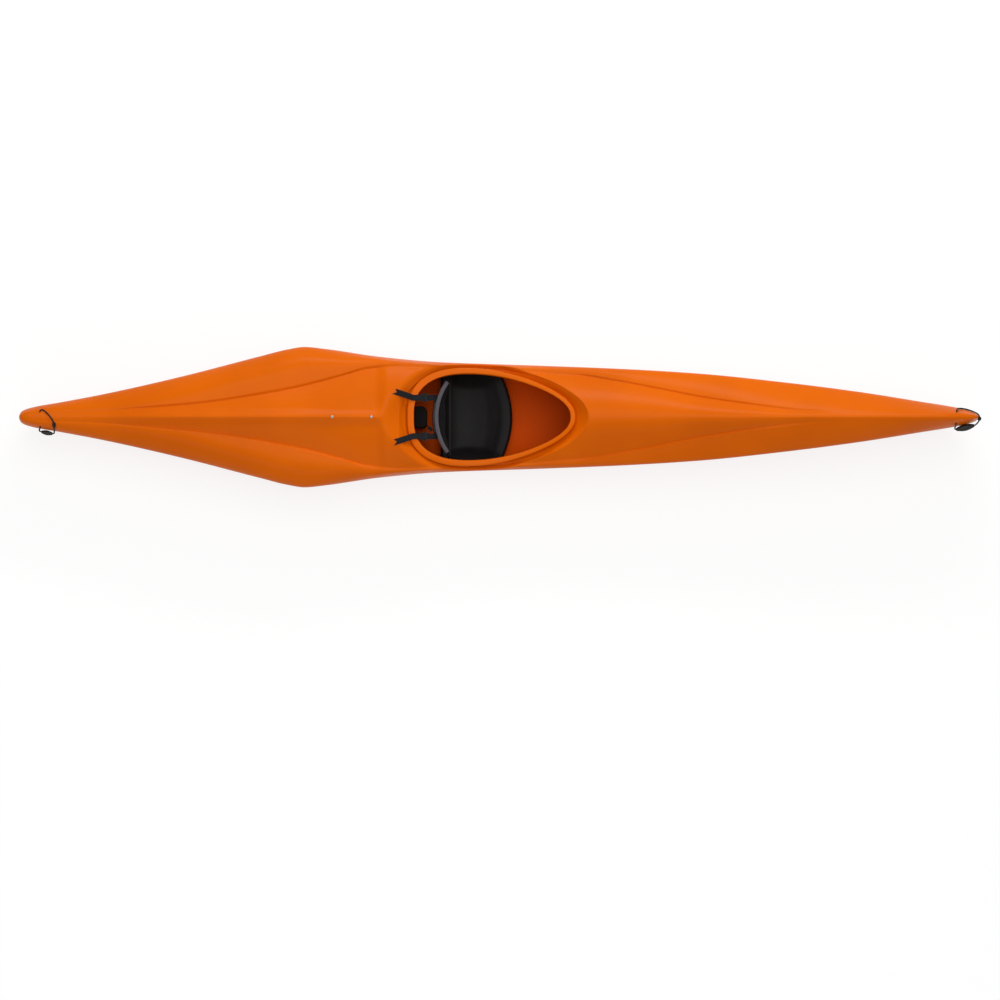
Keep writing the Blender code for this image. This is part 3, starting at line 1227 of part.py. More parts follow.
def build_brace(parts, cutters, skin, hull, side, word, alloy, plastic, steel):
    """A track bolted to the hull's side, a pedal that slides on it and its sprung latch."""
    brace = Brace(skin, side)
    build_track(parts, cutters, brace, hull, word, alloy, steel)
    pedal, lever_in, pivot_up, reach_in = build_pedal(parts, cutters, brace, word, plastic)
    latch = build_latch(parts, brace, word, lever_in, pivot_up, plastic)
    pin = cylinder(parts, "latch_pin_" + word, PIN_RADIUS,
                   brace.at(LATCH_PIVOT, lever_in - reach_in, pivot_up),
                   brace.at(LATCH_PIVOT, lever_in + reach_in, pivot_up), steel, 12)
    hinge_at = brace.at(LATCH_PIVOT, lever_in, pivot_up)
    swing = joint_axis(parts, "latch_hinge_" + word,
                       frame(hinge_at, -brace.out * side, (0.0, 0.0, 1.0)), [latch])
    joint_axis(parts, "footrest_slide_" + word,
               frame(brace.origin, brace.along, (0.0, 0.0, 1.0)), [pedal, pin, swing])


def loop_route(skin, tunnel, knot, on, grip, off):
    """The rope's route from its knot through the grip and the tunnel and back to the knot. It
    is straight in the knot and in the grip, and outside the tunnel it keeps off the hull."""
    along = (on[0] - off[-1]).normalized()
    tight = along * KNOT_LENGTH * 0.55
    draw = (grip[1] - grip[0]).normalized() * 0.005
    points = ([knot + along * 0.0005, knot + tight * 0.6, knot + tight] + on
              + [grip[0] - draw, grip[0], (grip[0] + grip[1]) / 2, grip[1], grip[1] + draw]
              + off + [knot - tight, knot - tight * 0.6, knot - along * 0.0005])
    route = []
    for point in smooth_route(points, 2.4 * ROPE_RADIUS):
        if math.hypot(point.x - tunnel[0], point.z - tunnel[1]) > 0.0006:
            point = skin.keep_off(point, ROPE_RADIUS + 0.0008)
        route.append(point)
    return route, along


def build_loop(parts, cutters, hull, name, tunnel, route, grip, knot_at, knot_along, rope, hose):
    """A rope through a tunnel across the hull's solid end, its tubular grip and its knot."""
    bore = cylinder(cutters, name + "_tunnel", ROPE_RADIUS + TUNNEL_GAP,
                    (tunnel[0], -0.2, tunnel[1]), (tunnel[0], 0.2, tunnel[1]), steps=12)
    combine(hull, bore, "DIFFERENCE", cutters)
    cord_piece(parts, name + "_rope", route, ROPE_RADIUS, rope)
    start, end = grip
    half = (end - start).length / 2
    place = frame((start + end) / 2, end - start, (0.0, 0.0, 1.0))
    bead = 0.0015
    profile = [(GRIP_BORE, half), (GRIP_RADIUS - bead, half), (GRIP_RADIUS, half - bead),
               (GRIP_RADIUS, -half + bead), (GRIP_RADIUS - bead, -half), (GRIP_BORE, -half)]
    sleeve = turned(parts, name + "_grip", profile, place, hose, steps=18, closed=True)
    joint_axis(parts, name + "_grip_axis", place, [sleeve])
    half = KNOT_LENGTH / 2
    bore_radius = ROPE_RADIUS + 2 * GAP
    lump = [(bore_radius, half), (ROPE_RADIUS * 1.7, half), (KNOT_RADIUS, half * 0.5),
            (KNOT_RADIUS * 0.82, 0.0), (KNOT_RADIUS, -half * 0.5), (ROPE_RADIUS * 1.7, -half),
            (bore_radius, -half)]
    turned(parts, name + "_knot", lump, frame(knot_at, knot_along, (0.0, 0.0, 1.0)), rope,
           steps=12, closed=True)


def build_loops(parts, cutters, skin, hull, rope, hose):
    """Both grab loops. Their routes start and end in the knot."""
    tip = LENGTH / 2
    knot_room = KNOT_RADIUS + 0.0022
    tunnel = (tip + BOW_TUNNEL[0], BOW_TUNNEL[1])
    on = [Vector((tip + a, b, c)) for a, b, c in BOW_ROUTE_ON]
    off = [Vector((tip + a, b, c)) for a, b, c in BOW_ROUTE_OFF]
    grip = [Vector((tip + a, b, c)) for a, b, c in BOW_GRIP]
    knot = skin.keep_off(Vector((tip + BOW_KNOT[0], BOW_KNOT[1], BOW_KNOT[2])), knot_room)
    route, along = loop_route(skin, tunnel, knot, on, grip, off)
    build_loop(parts, cutters, hull, "bow", tunnel, route, grip, knot, along, rope, hose)

    tunnel = (STERN_TUNNEL[0] - tip, STERN_TUNNEL[1])
    on = [Vector((a - tip, b, c)) for a, b, c in STERN_ROUTE_ON]
    off = [Vector((a - tip, b, c)) for a, b, c in STERN_ROUTE_OFF]
    for x, y in STERN_ROUTE_DECK:
        off.append(Vector((x - tip, y, skin.deck(x - tip, y) + 2 * ROPE_RADIUS)))
    grip = [Vector((a - tip, b, c)) for a, b, c in STERN_GRIP]
    x, y = STERN_KNOT
    knot = skin.keep_off(Vector((x - tip, y, skin.deck(x - tip, y) + KNOT_RADIUS)), knot_room)
    route, along = loop_route(skin, tunnel, knot, on, grip, off)
    build_loop(parts, cutters, hull, "stern", tunnel, route, grip, knot, along, rope, hose)


def main():
    clear_scene()
    parts = new_collection("downriver_kayak")
    cutters = new_collection("cutters")
    orange = finish("hull_orange", (0.80, 0.20, 0.01), 0.38)
    seat_black = finish("seat_black", (0.020, 0.018, 0.018), 0.45)
    band_black = finish("band_black", (0.025, 0.024, 0.025), 0.40)
    pad_grey = finish("pad_grey", (0.05, 0.05, 0.052), 0.80)
    webbing = finish("strap_webbing", (0.022, 0.025, 0.028), 0.75)
    buckle_black = finish("buckle_black", (0.018, 0.018, 0.019), 0.35)
    foam = finish("foam_dark", (0.06, 0.06, 0.06), 0.90)
    rope = finish("rope_black", (0.02, 0.015, 0.013), 0.80)
    hose = finish("grip_black", (0.02, 0.02, 0.02), 0.50)
    alloy = finish("track_alloy", (0.35, 0.35, 0.36), 0.40, 1.0)
    pedal_black = finish("pedal_black", (0.02, 0.02, 0.022), 0.45)
    steel = finish("bolt_steel", (0.45, 0.45, 0.46), 0.30, 1.0)

    hull = build_hull(parts, orange)
    bpy.context.view_layer.update()
    skin = Skin(hull)
    seat, seat_skin = build_seat(parts, cutters, skin, seat_black)
    build_side_bolts(parts, cutters, skin, seat_skin, hull, seat, steel, buckle_black)
    build_backband(parts, cutters, seat_skin, seat, band_black, pad_grey, steel)
    build_straps(parts, cutters, skin, webbing, buckle_black)
    build_cord(parts, skin, rope)
    build_pillars(parts, cutters, skin, hull, foam, buckle_black, steel)
    for side, word in ((1, "left"), (-1, "right")):
        build_brace(parts, cutters, skin, hull, side, word, alloy, pedal_black, steel)
    build_loops(parts, cutters, skin, hull, rope, hose)
    bpy.context.view_layer.update()


main()
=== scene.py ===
"""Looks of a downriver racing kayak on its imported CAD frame. Metres, bow at +X, port at +Y."""

from math import asin, pi, radians

import bmesh
import bpy
import numpy as np
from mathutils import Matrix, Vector
from numpy import (array, clip, concatenate, cos, cross, exp, linspace, maximum, minimum, sin, sqrt,
                   stack, where, zeros)


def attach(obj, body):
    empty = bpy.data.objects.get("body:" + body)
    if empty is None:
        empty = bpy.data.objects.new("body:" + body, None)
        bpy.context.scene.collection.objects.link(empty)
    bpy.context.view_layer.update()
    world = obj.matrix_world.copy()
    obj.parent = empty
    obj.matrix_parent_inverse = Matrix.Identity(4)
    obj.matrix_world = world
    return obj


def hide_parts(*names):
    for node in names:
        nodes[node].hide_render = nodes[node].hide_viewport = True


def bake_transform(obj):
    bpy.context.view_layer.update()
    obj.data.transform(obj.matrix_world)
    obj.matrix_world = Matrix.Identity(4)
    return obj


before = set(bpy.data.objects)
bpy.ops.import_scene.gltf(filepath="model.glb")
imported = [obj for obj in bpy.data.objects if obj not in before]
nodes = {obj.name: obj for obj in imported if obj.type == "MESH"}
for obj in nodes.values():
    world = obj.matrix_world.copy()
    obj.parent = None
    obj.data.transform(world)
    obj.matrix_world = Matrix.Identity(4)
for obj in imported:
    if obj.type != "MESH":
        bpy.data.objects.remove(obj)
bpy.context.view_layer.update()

TURN = 2 * pi
UP = (0.0, 0.0, 1.0)

# Sizes that the hull's lines and the fittings share
LENGTH = 4.1
BEAM = 0.6
DEPTH = 0.42
WALL = 0.005
KEEL_FLAT = 0.09
SIDE_DECK = 0.012
COCKPIT_X = -0.029
OPENING_LENGTH = 0.668
OPENING_WIDTH = 0.372
OPENING_EGG = 0.27
OPENING_AFT = COCKPIT_X - OPENING_LENGTH / 2
OPENING_FORE = COCKPIT_X + OPENING_LENGTH / 2
BLUNT = 0.9
AFT_BLUNT = 0.15
LIP_WIDTH = 0.0205
LIP_THICKNESS = 0.01
LIP_EDGE = 0.0026
NECK_HEIGHT = 0.034
MOAT_AFT = 0.0405
MOAT_FORE = 0.056
MOAT_HALF_WIDTH = 0.2115
MOAT_EGG = 0.2
COAMING_LOW_X = -0.08
LIP_SADDLE = (0.287, 0.506, 0.352)
MOAT_SADDLE = (0.25, 0.822, 0.562)

BULKHEAD_SLOPE = 0.62
RIDGE_HALF = 0.028
PANEL_SUNK = 0.0115
STEP_RISE_AFT = 0.003
STEP_RISE_FORE = 0.006
STEP_WIDTH = 0.0075
COCKPIT_STEPS = 128


# Shapes as grids of points

def new_object(name, data):
    item = bpy.data.objects.new(name, data)
    bpy.context.scene.collection.objects.link(item)
    return item


def points_of(mesh):
    values = zeros(len(mesh.vertices) * 3)
    mesh.vertices.foreach_get("co", values)
    return values.reshape(-1, 3)


def move_points(mesh, points):
    mesh.vertices.foreach_set("co", points.astype(np.float32).ravel())
    mesh.update()


def weld(mesh, distance=1e-6, flat=None):
    """Welds what coincides, then points the faces outwards or merges those flat to a few degrees."""
    work = bmesh.new()
    work.from_mesh(mesh)
    bmesh.ops.remove_doubles(work, verts=work.verts, dist=distance)
    if flat is None:
        bmesh.ops.recalc_face_normals(work, faces=work.faces)
    else:
        bmesh.ops.dissolve_limit(work, angle_limit=radians(flat), verts=work.verts,
                                 edges=work.edges)
    work.to_mesh(mesh)
    work.free()


def smooth_faces(mesh, angle=None):
    """Smooth shading, with edges sharper than the angle in degrees kept crisp."""
    mesh.polygons.foreach_set("use_smooth", np.ones(len(mesh.polygons), bool))
    if angle is not None:
        mesh.set_sharp_from_angle(angle=radians(angle))


def grid_faces(rows, columns, first=0, wrap=False, loop=False):
    """Quads of a grid. wrap joins each row's end to its start, loop the last row to the first."""
    index = first + np.arange(rows * columns).reshape(rows, columns)
    if wrap:
        index = concatenate([index, index[:, :1]], axis=1)
    if loop:
        index = concatenate([index, index[:1]], axis=0)
    return stack([index[:-1, :-1], index[:-1, 1:], index[1:, 1:], index[1:, :-1]],
                    axis=-1).reshape(-1, 4)


def surface(name, grid, wrap=False, loop=False, ends=False, map_size=None, angle=None, fold=None):
    """A piece from one grid of points. ends closes the first and last rows, with fold by strips
    to each point's mirror point round that column. map_size holds the UV map's metres."""
    rows, columns = grid.shape[:2]
    quads = grid_faces(rows, columns, 0, wrap, loop)
    faces = quads.tolist()
    last = (rows - 1) * columns
    if ends and fold is None:
        faces += [list(range(columns))[::-1], list(range(last, rows * columns))]
    elif ends:
        pair = [((fold + m) % columns, (fold - m) % columns) for m in range(columns // 2 + 1)]
        for start in (0, last):
            for (a, b), (c, d) in zip(pair, pair[1:]):
                faces.append([start + i for i in dict.fromkeys((a, c, d, b))])
    mesh = bpy.data.meshes.new(name)
    mesh.from_pydata(grid.reshape(-1, 3).tolist(), [], faces)
    if map_size is not None:
        along, across = map_size
        row, column = np.divmod(np.arange(len(quads)), len(across) - 1)
        u = along[row[:, None] + [0, 0, 1, 1]]
        v = across[column[:, None] + [0, 1, 1, 0]]
        values = zeros((len(mesh.loops), 2), np.float32)
        values[:quads.size] = points_at(u.ravel(), v.ravel())
        mesh.uv_layers.new(name="UVMap").data.foreach_set("uv", values.ravel())
    weld(mesh)
    smooth_faces(mesh, angle)
    return new_object(name, mesh)


def circle(count):
    return linspace(0, TURN, count, endpoint=False)


def shares(count):
    return linspace(0, 1.0, count)


def points_at(*parts):
    return stack(np.broadcast_arrays(*parts), axis=-1)


def ease(value, low, high):
    """Zero below low, one above high, with level ends."""
    t = clip((value - low) / (high - low), 0, 1)
    return t * t * (3 - 2 * t)


def unit(vectors):
    return vectors / maximum(np.linalg.norm(vectors, axis=-1, keepdims=True), 1e-12)


def two_sides(axis, up=None):
    """Two directions square to an axis and to each other."""
    up = np.eye(3)[int(np.argmin(np.abs(axis)))] if up is None else up
    side = unit(cross(axis, up))
    return side, cross(axis, side)


def lengths(path):
    """Distance along a path at each of its points."""
    return concatenate([[0.0], np.cumsum(np.linalg.norm(np.diff(path, axis=0), axis=1))])


def cubic(at, values, slope, x):
    """The cubic through the values at these places with these slopes, read at x."""
    i = clip(np.searchsorted(at, x, side="right") - 1, 0, len(at) - 2)
    h = at[i + 1] - at[i]
    t = (x - at[i]) / h
    if values.ndim > 1:
        h, t = h[:, None], t[:, None]
    return (values[i] * (1 + 2 * t) * (1 - t) ** 2 + values[i + 1] * t * t * (3 - 2 * t)
            + h * t * (1 - t) * (slope[i] * (1 - t) - slope[i + 1] * t))


def smooth_path(points, step):
    """A cubic through the points, parametrised by chord length, read at even spacing."""
    points = np.asarray(points, float)
    at = lengths(points)
    slope = np.gradient(points, at, axis=0)
    fine = linspace(0, at[-1], 2000)
    run = lengths(cubic(at, points, slope, fine))
    count = max(3, int(round(run[-1] / step)) + 1)
    return cubic(at, points, slope, np.interp(linspace(0, run[-1], count), run, fine))


def route(*numbers, size=3):
    """Points of this size from their numbers in ten thousandths."""
    return array(numbers).reshape(-1, size) / 10000


def smooth_line(*numbers):
    """A curve through the points without false humps: each slope is the weighted harmonic mean
    of the chords beside it, and zero where they change sign."""
    xs, ys = route(*numbers, size=2).T
    step = np.diff(xs)
    chord = np.diff(ys) / step
    before = 2 * step[1:] + step[:-1]
    after = step[1:] + 2 * step[:-1]
    same = chord[:-1] * chord[1:] > 0
    low = where(same, chord[:-1], 1.0)
    high = where(same, chord[1:], 1.0)
    inner = where(same, (before + after) / (before / low + after / high), 0.0)
    slope = concatenate([chord[:1], inner, chord[-1:]])
    return lambda x: cubic(xs, ys, slope, clip(x, xs[0], xs[-1]))


def path_frames(path, up=None):
    """Tangent, side and normal along a path: the normal leans to up, or else turns least."""
    tangent = unit(np.gradient(path, axis=0))
    if up is not None:
        side = unit(cross(np.broadcast_to(np.asarray(up, float), tangent.shape), tangent))
        return tangent, side, cross(tangent, side)
    start = np.eye(3)[int(np.argmin(np.abs(tangent[0])))]
    side = [unit(start - tangent[0] * (start @ tangent[0]))]
    for here in tangent[1:]:
        side.append(unit(side[-1] - here * (side[-1] @ here)))
    side = array(side)
    return tangent, side, cross(tangent, side)


def sweep(name, path, profile, up=None, shift=None, angle=None, size=None, fold=None):
    """A closed profile of (side, normal) offsets carried along a path and capped. shift moves
    its points along the path, and size scales it, at each row."""
    tangent, side, normal = path_frames(path, up)
    profile = np.asarray(profile, float)
    scale = (np.ones(len(path)) if size is None else size)[:, None, None]
    grid = (path[:, None] + side[:, None] * profile[:, :1] * scale
            + normal[:, None] * profile[:, 1:] * scale)
    if shift is not None:
        grid = grid + tangent[:, None] * shift[:, :, None]
    ring = concatenate([profile, profile[:1]])
    return surface(name, grid, wrap=True, ends=True, map_size=(lengths(path), lengths(ring)),
                   angle=angle, fold=fold)


def tube(name, path, radius, around=14):
    """A round cord: a circle carried along the path, drawn in over its two ends."""
    t = circle(around)
    run = lengths(path)
    near = minimum(run, run[-1] - run)
    size = sqrt(clip(1 - (1 - clip(near / (0.8 * radius), 0, 1)) ** 2, 0.04, 1.0))
    return sweep(name, path, points_at(cos(t), sin(t)) * radius, size=size)


def flat_profile(width, thickness):
    """A flat strap's outline: straight faces and half-round edges."""
    t = linspace(-pi / 2, pi / 2, 7)
    half = (width - thickness) / 2
    top = points_at(linspace(1, -1, 9)[1:-1] * half, thickness / 2)
    edge = points_at(half + thickness / 2 * cos(t), thickness / 2 * sin(t))
    return concatenate([edge, top, -edge, -top])


def turned(name, profile, centre, axis, steps=40, loop=False, angle=None):
    """A profile of (radius, height) points swept round an axis through the centre."""
    profile = np.asarray(profile, float)
    axis = unit(np.asarray(axis, float))
    side, other = two_sides(axis)
    t = circle(steps)[:, None]
    ring = cos(t) * side + sin(t) * other
    grid = (np.asarray(centre, float) + profile[:, 1, None, None] * axis
            + profile[:, 0, None, None] * ring)
    return surface(name, grid, wrap=True, loop=loop, angle=angle)


# Finishes as sums of shader nodes

class Level:
    """A value that varies over a piece, and can be added and multiplied."""

    def __init__(self, finish, socket):
        self.finish = finish
        self.socket = socket


for word, way in (("add", "ADD"), ("sub", "SUBTRACT"), ("mul", "MULTIPLY")):
    setattr(Level, "__%s__" % word, lambda self, other, way=way: self.finish.maths(way, self, other))
    setattr(Level, "__r%s__" % word, lambda self, other, way=way: self.finish.maths(way, other, self))


class Finish:
    """The nodes of a material or of the world."""

    def __init__(self, name, kind="materials", shader="Principled BSDF"):
        self.owner = getattr(bpy.data, kind).new(name)
        self.owner.use_nodes = True
        self.tree = self.owner.node_tree
        self.shader = self.tree.nodes[shader]
        self.point = self.node("TexCoord", {}, {}, "Object")

    def put(self, inputs, values):
        """Puts numbers, colours or links on sockets."""
        for key, value in values.items():
            if isinstance(value, Level):
                self.tree.links.new(value.socket, inputs[key])
            else:
                inputs[key].default_value = value

    def node(self, kind, settings, values, output=0):
        """A node of this type, with its settings and what its sockets take."""
        made = self.tree.nodes.new("ShaderNode" + kind)
        for key, value in settings.items():
            setattr(made, key, value)
        self.put(made.inputs, values)
        return Level(self, made.outputs[output])

    def maths(self, operation, first, second=0.0):
        return self.node("Math", {"operation": operation}, {0: first, 1: second})

    def wave(self, value, pitch):
        """A sine of this pitch."""
        return self.maths("SINE", value * (TURN / pitch))

    def clamped(self, value):
        return self.node("Clamp", {}, {0: value})

    def step(self, value, low, high):
        """Zero below low, one above high and smooth between them."""
        return self.node("MapRange", {"interpolation_type": "SMOOTHSTEP"},
                         {"Value": value, "From Min": low, "From Max": high})

    def parts(self, point):
        """The three parts of a point."""
        return [self.node("SeparateXYZ", {}, {0: point}, number) for number in range(3)]

    def map(self):
        """The UV map's two values, in metres along and across."""
        return self.parts(self.node("UVMap", {"uv_map": "UVMap"}, {}))[:2]

    def noise(self, scale, detail=2.0, rough=0.5, stretch=None):
        point = self.point
        if stretch:
            point = self.node("Mapping", {}, {"Vector": point, "Scale": stretch})
        return self.node("TexNoise", {}, {"Vector": point, "Scale": scale, "Detail": detail,
                                          "Roughness": rough}, "Fac")

    def cells(self, scale, **settings):
        return self.node("TexVoronoi", settings, {"Vector": self.point, "Scale": scale}, "Distance")

    def mix(self, share, *tones):
        """From the first colour to the second by the share."""
        first, second = (tone if isinstance(tone, Level) else (*tone, 1.0) for tone in tones)
        return self.node("Mix", {"data_type": "RGBA"}, {0: share, 6: first, 7: second}, 2)

    def done(self, base, rough, relief, spec=0.5, sheen=0.0, metal=0.0):
        """The material. relief is a height, its size in metres and its strength."""
        bump = self.node("Bump", {}, dict(zip(("Height", "Distance", "Strength"), relief)))
        self.put(self.shader.inputs, {
            "Base Color": base, "Roughness": rough, "Normal": bump, "Specular IOR Level": spec,
            "Sheen Weight": sheen, "Metallic": metal})
        return self.owner


def moulded_orange():
    """Rotomoulded polyethylene: orange peel under a satin skin, faintly cloudy, with scuffs
    along the bottom, a rougher floor inside, and a darker, redder tone there that is painted shade."""
    f = Finish("moulded_orange")
    x, y, z = f.parts(f.point)
    cloud = f.noise(3.0, 3.0)
    drag = f.noise(1.0, 4.0, 0.62, (6.0, 140.0, 140.0))
    facing = f.node("NewGeometry", {}, {}, "True Normal")
    down = f.node("VectorMath", {"operation": "DOT_PRODUCT"},
                  {0: facing, 1: (0.0, 0.0, -1.0)}, "Value")
    low = (1.0 - f.step(z, 0.02, 0.11)) * f.step(down, 0.1, 0.5)
    scuff = f.step(drag, 0.58, 0.7) * low
    base = f.mix(f.step(cloud, 0.3, 0.7), (0.735, 0.126, 0.0003), (0.8, 0.141, 0.0004))
    base = f.mix(scuff * 0.5, base, (0.9, 0.36, 0.12))
    # Inside floor: a rougher skin, and a darker, redder tone that is painted shade for the dim light
    # bounced round inside the hull.
    inside = (f.step(down, -0.15, -0.45) * (1.0 - f.step(z, 0.2, 0.26))
              * (1.0 - f.step(f.maths("ABSOLUTE", x), 1.2, 1.5)))
    base = f.mix(inside, base, (0.735, 0.085, 0.0002))
    height = f.noise(170.0) * 0.5 + f.noise(900.0, 1.0) * 0.12 - scuff * 0.3
    return f.done(base, 0.24 + 0.09 * cloud + 0.25 * scuff + 0.3 * inside,
                  (height, 0.0004, 0.4), 0.06)


def seat_plastic():
    """Black moulded plastic with a leather-like grain and rubbed patches, and a lighter line
    along the rear rim that is a painted highlight.
    """
    f = Finish("seat_plastic")
    x, y, z = f.parts(f.point)
    cells = f.cells(520.0, feature="DISTANCE_TO_EDGE")
    rub = f.noise(9.0, 3.0)
    base = f.mix(f.step(rub, 0.35, 0.7), (0.0045, 0.0036, 0.0036), (0.0085, 0.0072, 0.0072))
    # Painted highlight: a lighter line across the seat along its rolled rear rim, where the rim catches
    # light.
    rim = (1.0 - f.step(f.maths("ABSOLUTE", x + 0.2105), 0.0012, 0.0034)) \
        * (1.0 - f.step(f.maths("ABSOLUTE", y), 0.15, 0.168))
    base = f.mix(rim * 0.8, base, (0.04, 0.034, 0.037))
    return f.done(base, 0.46 + 0.14 * rub, (f.step(cells, 0.0, 0.2), 0.00025, 0.45), 0.16)


def speckled(name, noise, dark, light, rough, relief, spec=0.5, metal=0.0):
    """A finish whose tone and roughness vary with one noise. Its relief follows that noise or,
    where relief starts with a scale, a finer one."""
    f = Finish(name)
    share = f.noise(*noise)
    height = f.noise(relief[0]) if relief[0] else share
    return f.done(f.mix(share, dark, light), rough[0] + rough[1] * share, (height, *relief[1:]),
                  spec, metal=metal)


def satin_black(name, base, rough, grain=700.0):
    """Satin black moulded nylon with a faint spark-eroded texture."""
    return speckled(name, (25.0,), (base * 0.8, base * 0.8, base * 0.82),
                    (base * 1.3, base * 1.3, base * 1.33), (rough, 0.12), (grain, 0.00015, 0.5), 0.35)


def pad_cloth():
    """Knitted cloth over foam: small loops in rows."""
    f = Finish("pad_cloth")
    x, y, z = f.parts(f.point)
    rows = f.wave(z, 0.0021)
    knit = rows * f.maths("SINE", y * (TURN / 0.0024) + rows * 0.9)
    base = f.mix(f.noise(30.0, 3.0), (0.0045, 0.0035, 0.004), (0.0085, 0.0072, 0.008))
    base = f.mix(f.clamped(knit * 0.5 + 0.5) * 0.5, base, (0.013, 0.011, 0.012))
    return f.done(base, 0.88, (knit, 0.0005, 0.6), 0.06, 0.02)


def edge_binding():
    """Grey woven tape that binds the pad's top edge: fine ribs across the tape."""
    f = Finish("edge_binding")
    u, v = f.map()
    weave = f.wave(u, 0.0013)
    cross = f.wave(v, 0.0016)
    base = f.mix(f.clamped(0.5 + 0.3 * weave * cross + 0.4 * (f.noise(60.0) - 0.5)),
                 (0.04, 0.036, 0.042), (0.086, 0.078, 0.092))
    return f.done(base, 0.7, (weave * cross, 0.0003, 0.5), sheen=0.2)


def webbing():
    """Woven nylon webbing: slanted ribs that meet in a herringbone."""
    f = Finish("webbing")
    u, v = f.map()
    ribs = f.wave(u + f.maths("PINGPONG", v, 0.0031) * 1.1, 0.0017)
    shade = f.clamped(0.5 + 0.35 * ribs + 0.5 * (f.noise(90.0) - 0.5))
    base = f.mix(shade, (0.0035, 0.0045, 0.006), (0.011, 0.012, 0.015))
    return f.done(base, 0.66, (ribs, 0.00035, 0.7), 0.16, 0.02)


def braided(name, tone, girth):
    """A braided sheath: two sets of strands that cross, one over the other in turn."""
    f = Finish(name)
    u, v = f.map()
    turns = v * (6.0 / girth)
    pitch = u * (1.0 / 0.0065)
    braid = f.maths("MAXIMUM", f.wave(turns + pitch, 1.0), f.wave(turns - pitch, 1.0))
    base = f.mix(f.clamped(braid * 0.4 + f.noise(200.0) * 0.5),
                 (tone * 0.5, tone * 0.42, tone * 0.4), (tone * 1.5, tone * 1.3, tone * 1.2))
    return f.done(base, 0.8, (braid, 0.0005, 0.8), 0.2, 0.04)


def closed_cell_foam():
    """Charcoal closed-cell foam, cut open."""
    f = Finish("closed_cell_foam")
    base = f.mix(f.noise(14.0, 3.0), (0.0036, 0.0028, 0.0027), (0.0075, 0.006, 0.0058))
    return f.done(base, 0.93, (f.cells(420.0), 0.0006, 0.6), 0.08)


BINDING = edge_binding()
SHOCK_CORD = braided("shock_cord", 0.012, TURN * 0.0022)
FINISHES = {
    "hull_orange": moulded_orange(), "seat_black": seat_plastic(), "pad_grey": pad_cloth(),
    "band_black": satin_black("band_plastic", 0.009, 0.36),
    "buckle_black": satin_black("buckle_plastic", 0.008, 0.3),
    "pedal_black": satin_black("pedal_plastic", 0.009, 0.42, 500.0),
    "strap_webbing": webbing(), "rope_black": braided("rope_braid", 0.014, TURN * 0.003),
    "foam_dark": closed_cell_foam(),
    # Extruded hose with fine draw lines, brushed alloy and slightly stained steel
    "grip_black": speckled("smooth_hose", (8.0, 3.0, 0.5, (30.0, 30.0, 30.0)), (0.004, 0.004, 0.004),
                           (0.009, 0.008, 0.008), (0.38, 0.2), (None, 0.0003, 0.3), 0.3),
    "track_alloy": speckled("anodised_track", (1.0, 3.0, 0.5, (20.0, 700.0, 700.0)),
                            (0.16, 0.16, 0.165), (0.27, 0.27, 0.28), (0.32, 0.16),
                            (None, 0.0002, 0.3), metal=1.0),
    "bolt_steel": speckled("stainless", (120.0, 3.0), (0.26, 0.235, 0.22), (0.4, 0.37, 0.35),
                           (0.27, 0.22), (900.0, 0.0001, 0.3), metal=1.0)}


def placed(item, body, slot, *replaced, finish=None, between=None):
    """Gives a piece its finish, hides the nodes it replaces and puts it on its body, or with between
    bakes its place in and leaves it on no body.
    """
    item.data.materials.clear()
    item.data.materials.append(finish or FINISHES[slot])
    if between:
        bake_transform(item)
    else:
        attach(item, body)
    if replaced:
        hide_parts(*replaced)
    return item


def declared(item, path, diameter, far_end, *pieces):
    """Works out the path's length and does nothing more with it."""
    float(lengths(path)[-1])


def rounded(item, width, segments=2, angle=32):
    edge = item.modifiers.new("rounded", "BEVEL")
    edge.width = width
    edge.segments = segments
    edge.limit_method = "ANGLE"
    edge.angle_limit = radians(angle)


def dressed(node, body, slot, bevel, segments=2, angle=32, smooth=35, finish=None):
    """A CAD piece's own solid, welded and with its sharp edges rounded."""
    mesh = nodes[node].data.copy()
    mesh.name = node + "_dressed"
    weld(mesh, 1e-5, 0.6)
    item = new_object(node + "_dressed", mesh)
    rounded(item, bevel, segments, angle)
    smooth_faces(mesh, smooth)
    return placed(item, body, slot, node, finish=finish)


# The hull's lines in ten thousandths: stations run from the stern at -1 to the bow at 1, and
# values are shares of half the beam or of the depth

breadth_share = smooth_line(
    -10000, 0, -9985, 450, -9920, 920, -9750, 1350, -9130, 2130, -8300, 3200, -6630, 5760, -4970, 8680,
    -4400, 9650, -4050, 10000, -3600, 9700, -2500, 8620, -1220, 7850, 850, 7350, 2500, 6900, 4180, 6200,
    5840, 5020, 7500, 3560, 8750, 2200, 9450, 1420, 9800, 880, 9950, 420, 10000, 0)
keel_share = smooth_line(
    -10000, 5000, -9985, 3400, -9920, 2000, -9850, 1300, -9700, 1050, -8300, 710, -7000, 380,
    -5800, 100, -5000, 0, 6600, 0, 7900, 160, 8760, 380, 9250, 700, 9600, 1430, 9770, 2050, 9880, 2750,
    9960, 3750, 10000, 5800)
top_share = smooth_line(
    -10000, 6000, -9985, 6650, -9920, 7180, -9750, 7400, -9120, 7560, -8300, 7930, -6630, 8930,
    -4970, 9550, -4000, 9770, -3300, 9750, -2450, 9350, 0, 9000, 2100, 8830, 2930, 8930, 4200, 9330,
    5850, 9860, 7500, 10000, 8600, 10000, 9170, 9860, 9580, 9450, 9840, 9000, 9920, 8600, 9970, 7800,
    10000, 6200)
edge_share = smooth_line(
    -10000, 5500, -9985, 6000, -9920, 6400, -8300, 6400, -4050, 6430, -2500, 6200, -1200, 5870, 0, 5830,
    850, 5900, 2100, 6200, 4200, 6600, 5400, 7000, 7300, 7600, 8600, 7850, 9400, 7850, 9850, 7300,
    9970, 6600, 10000, 6000)
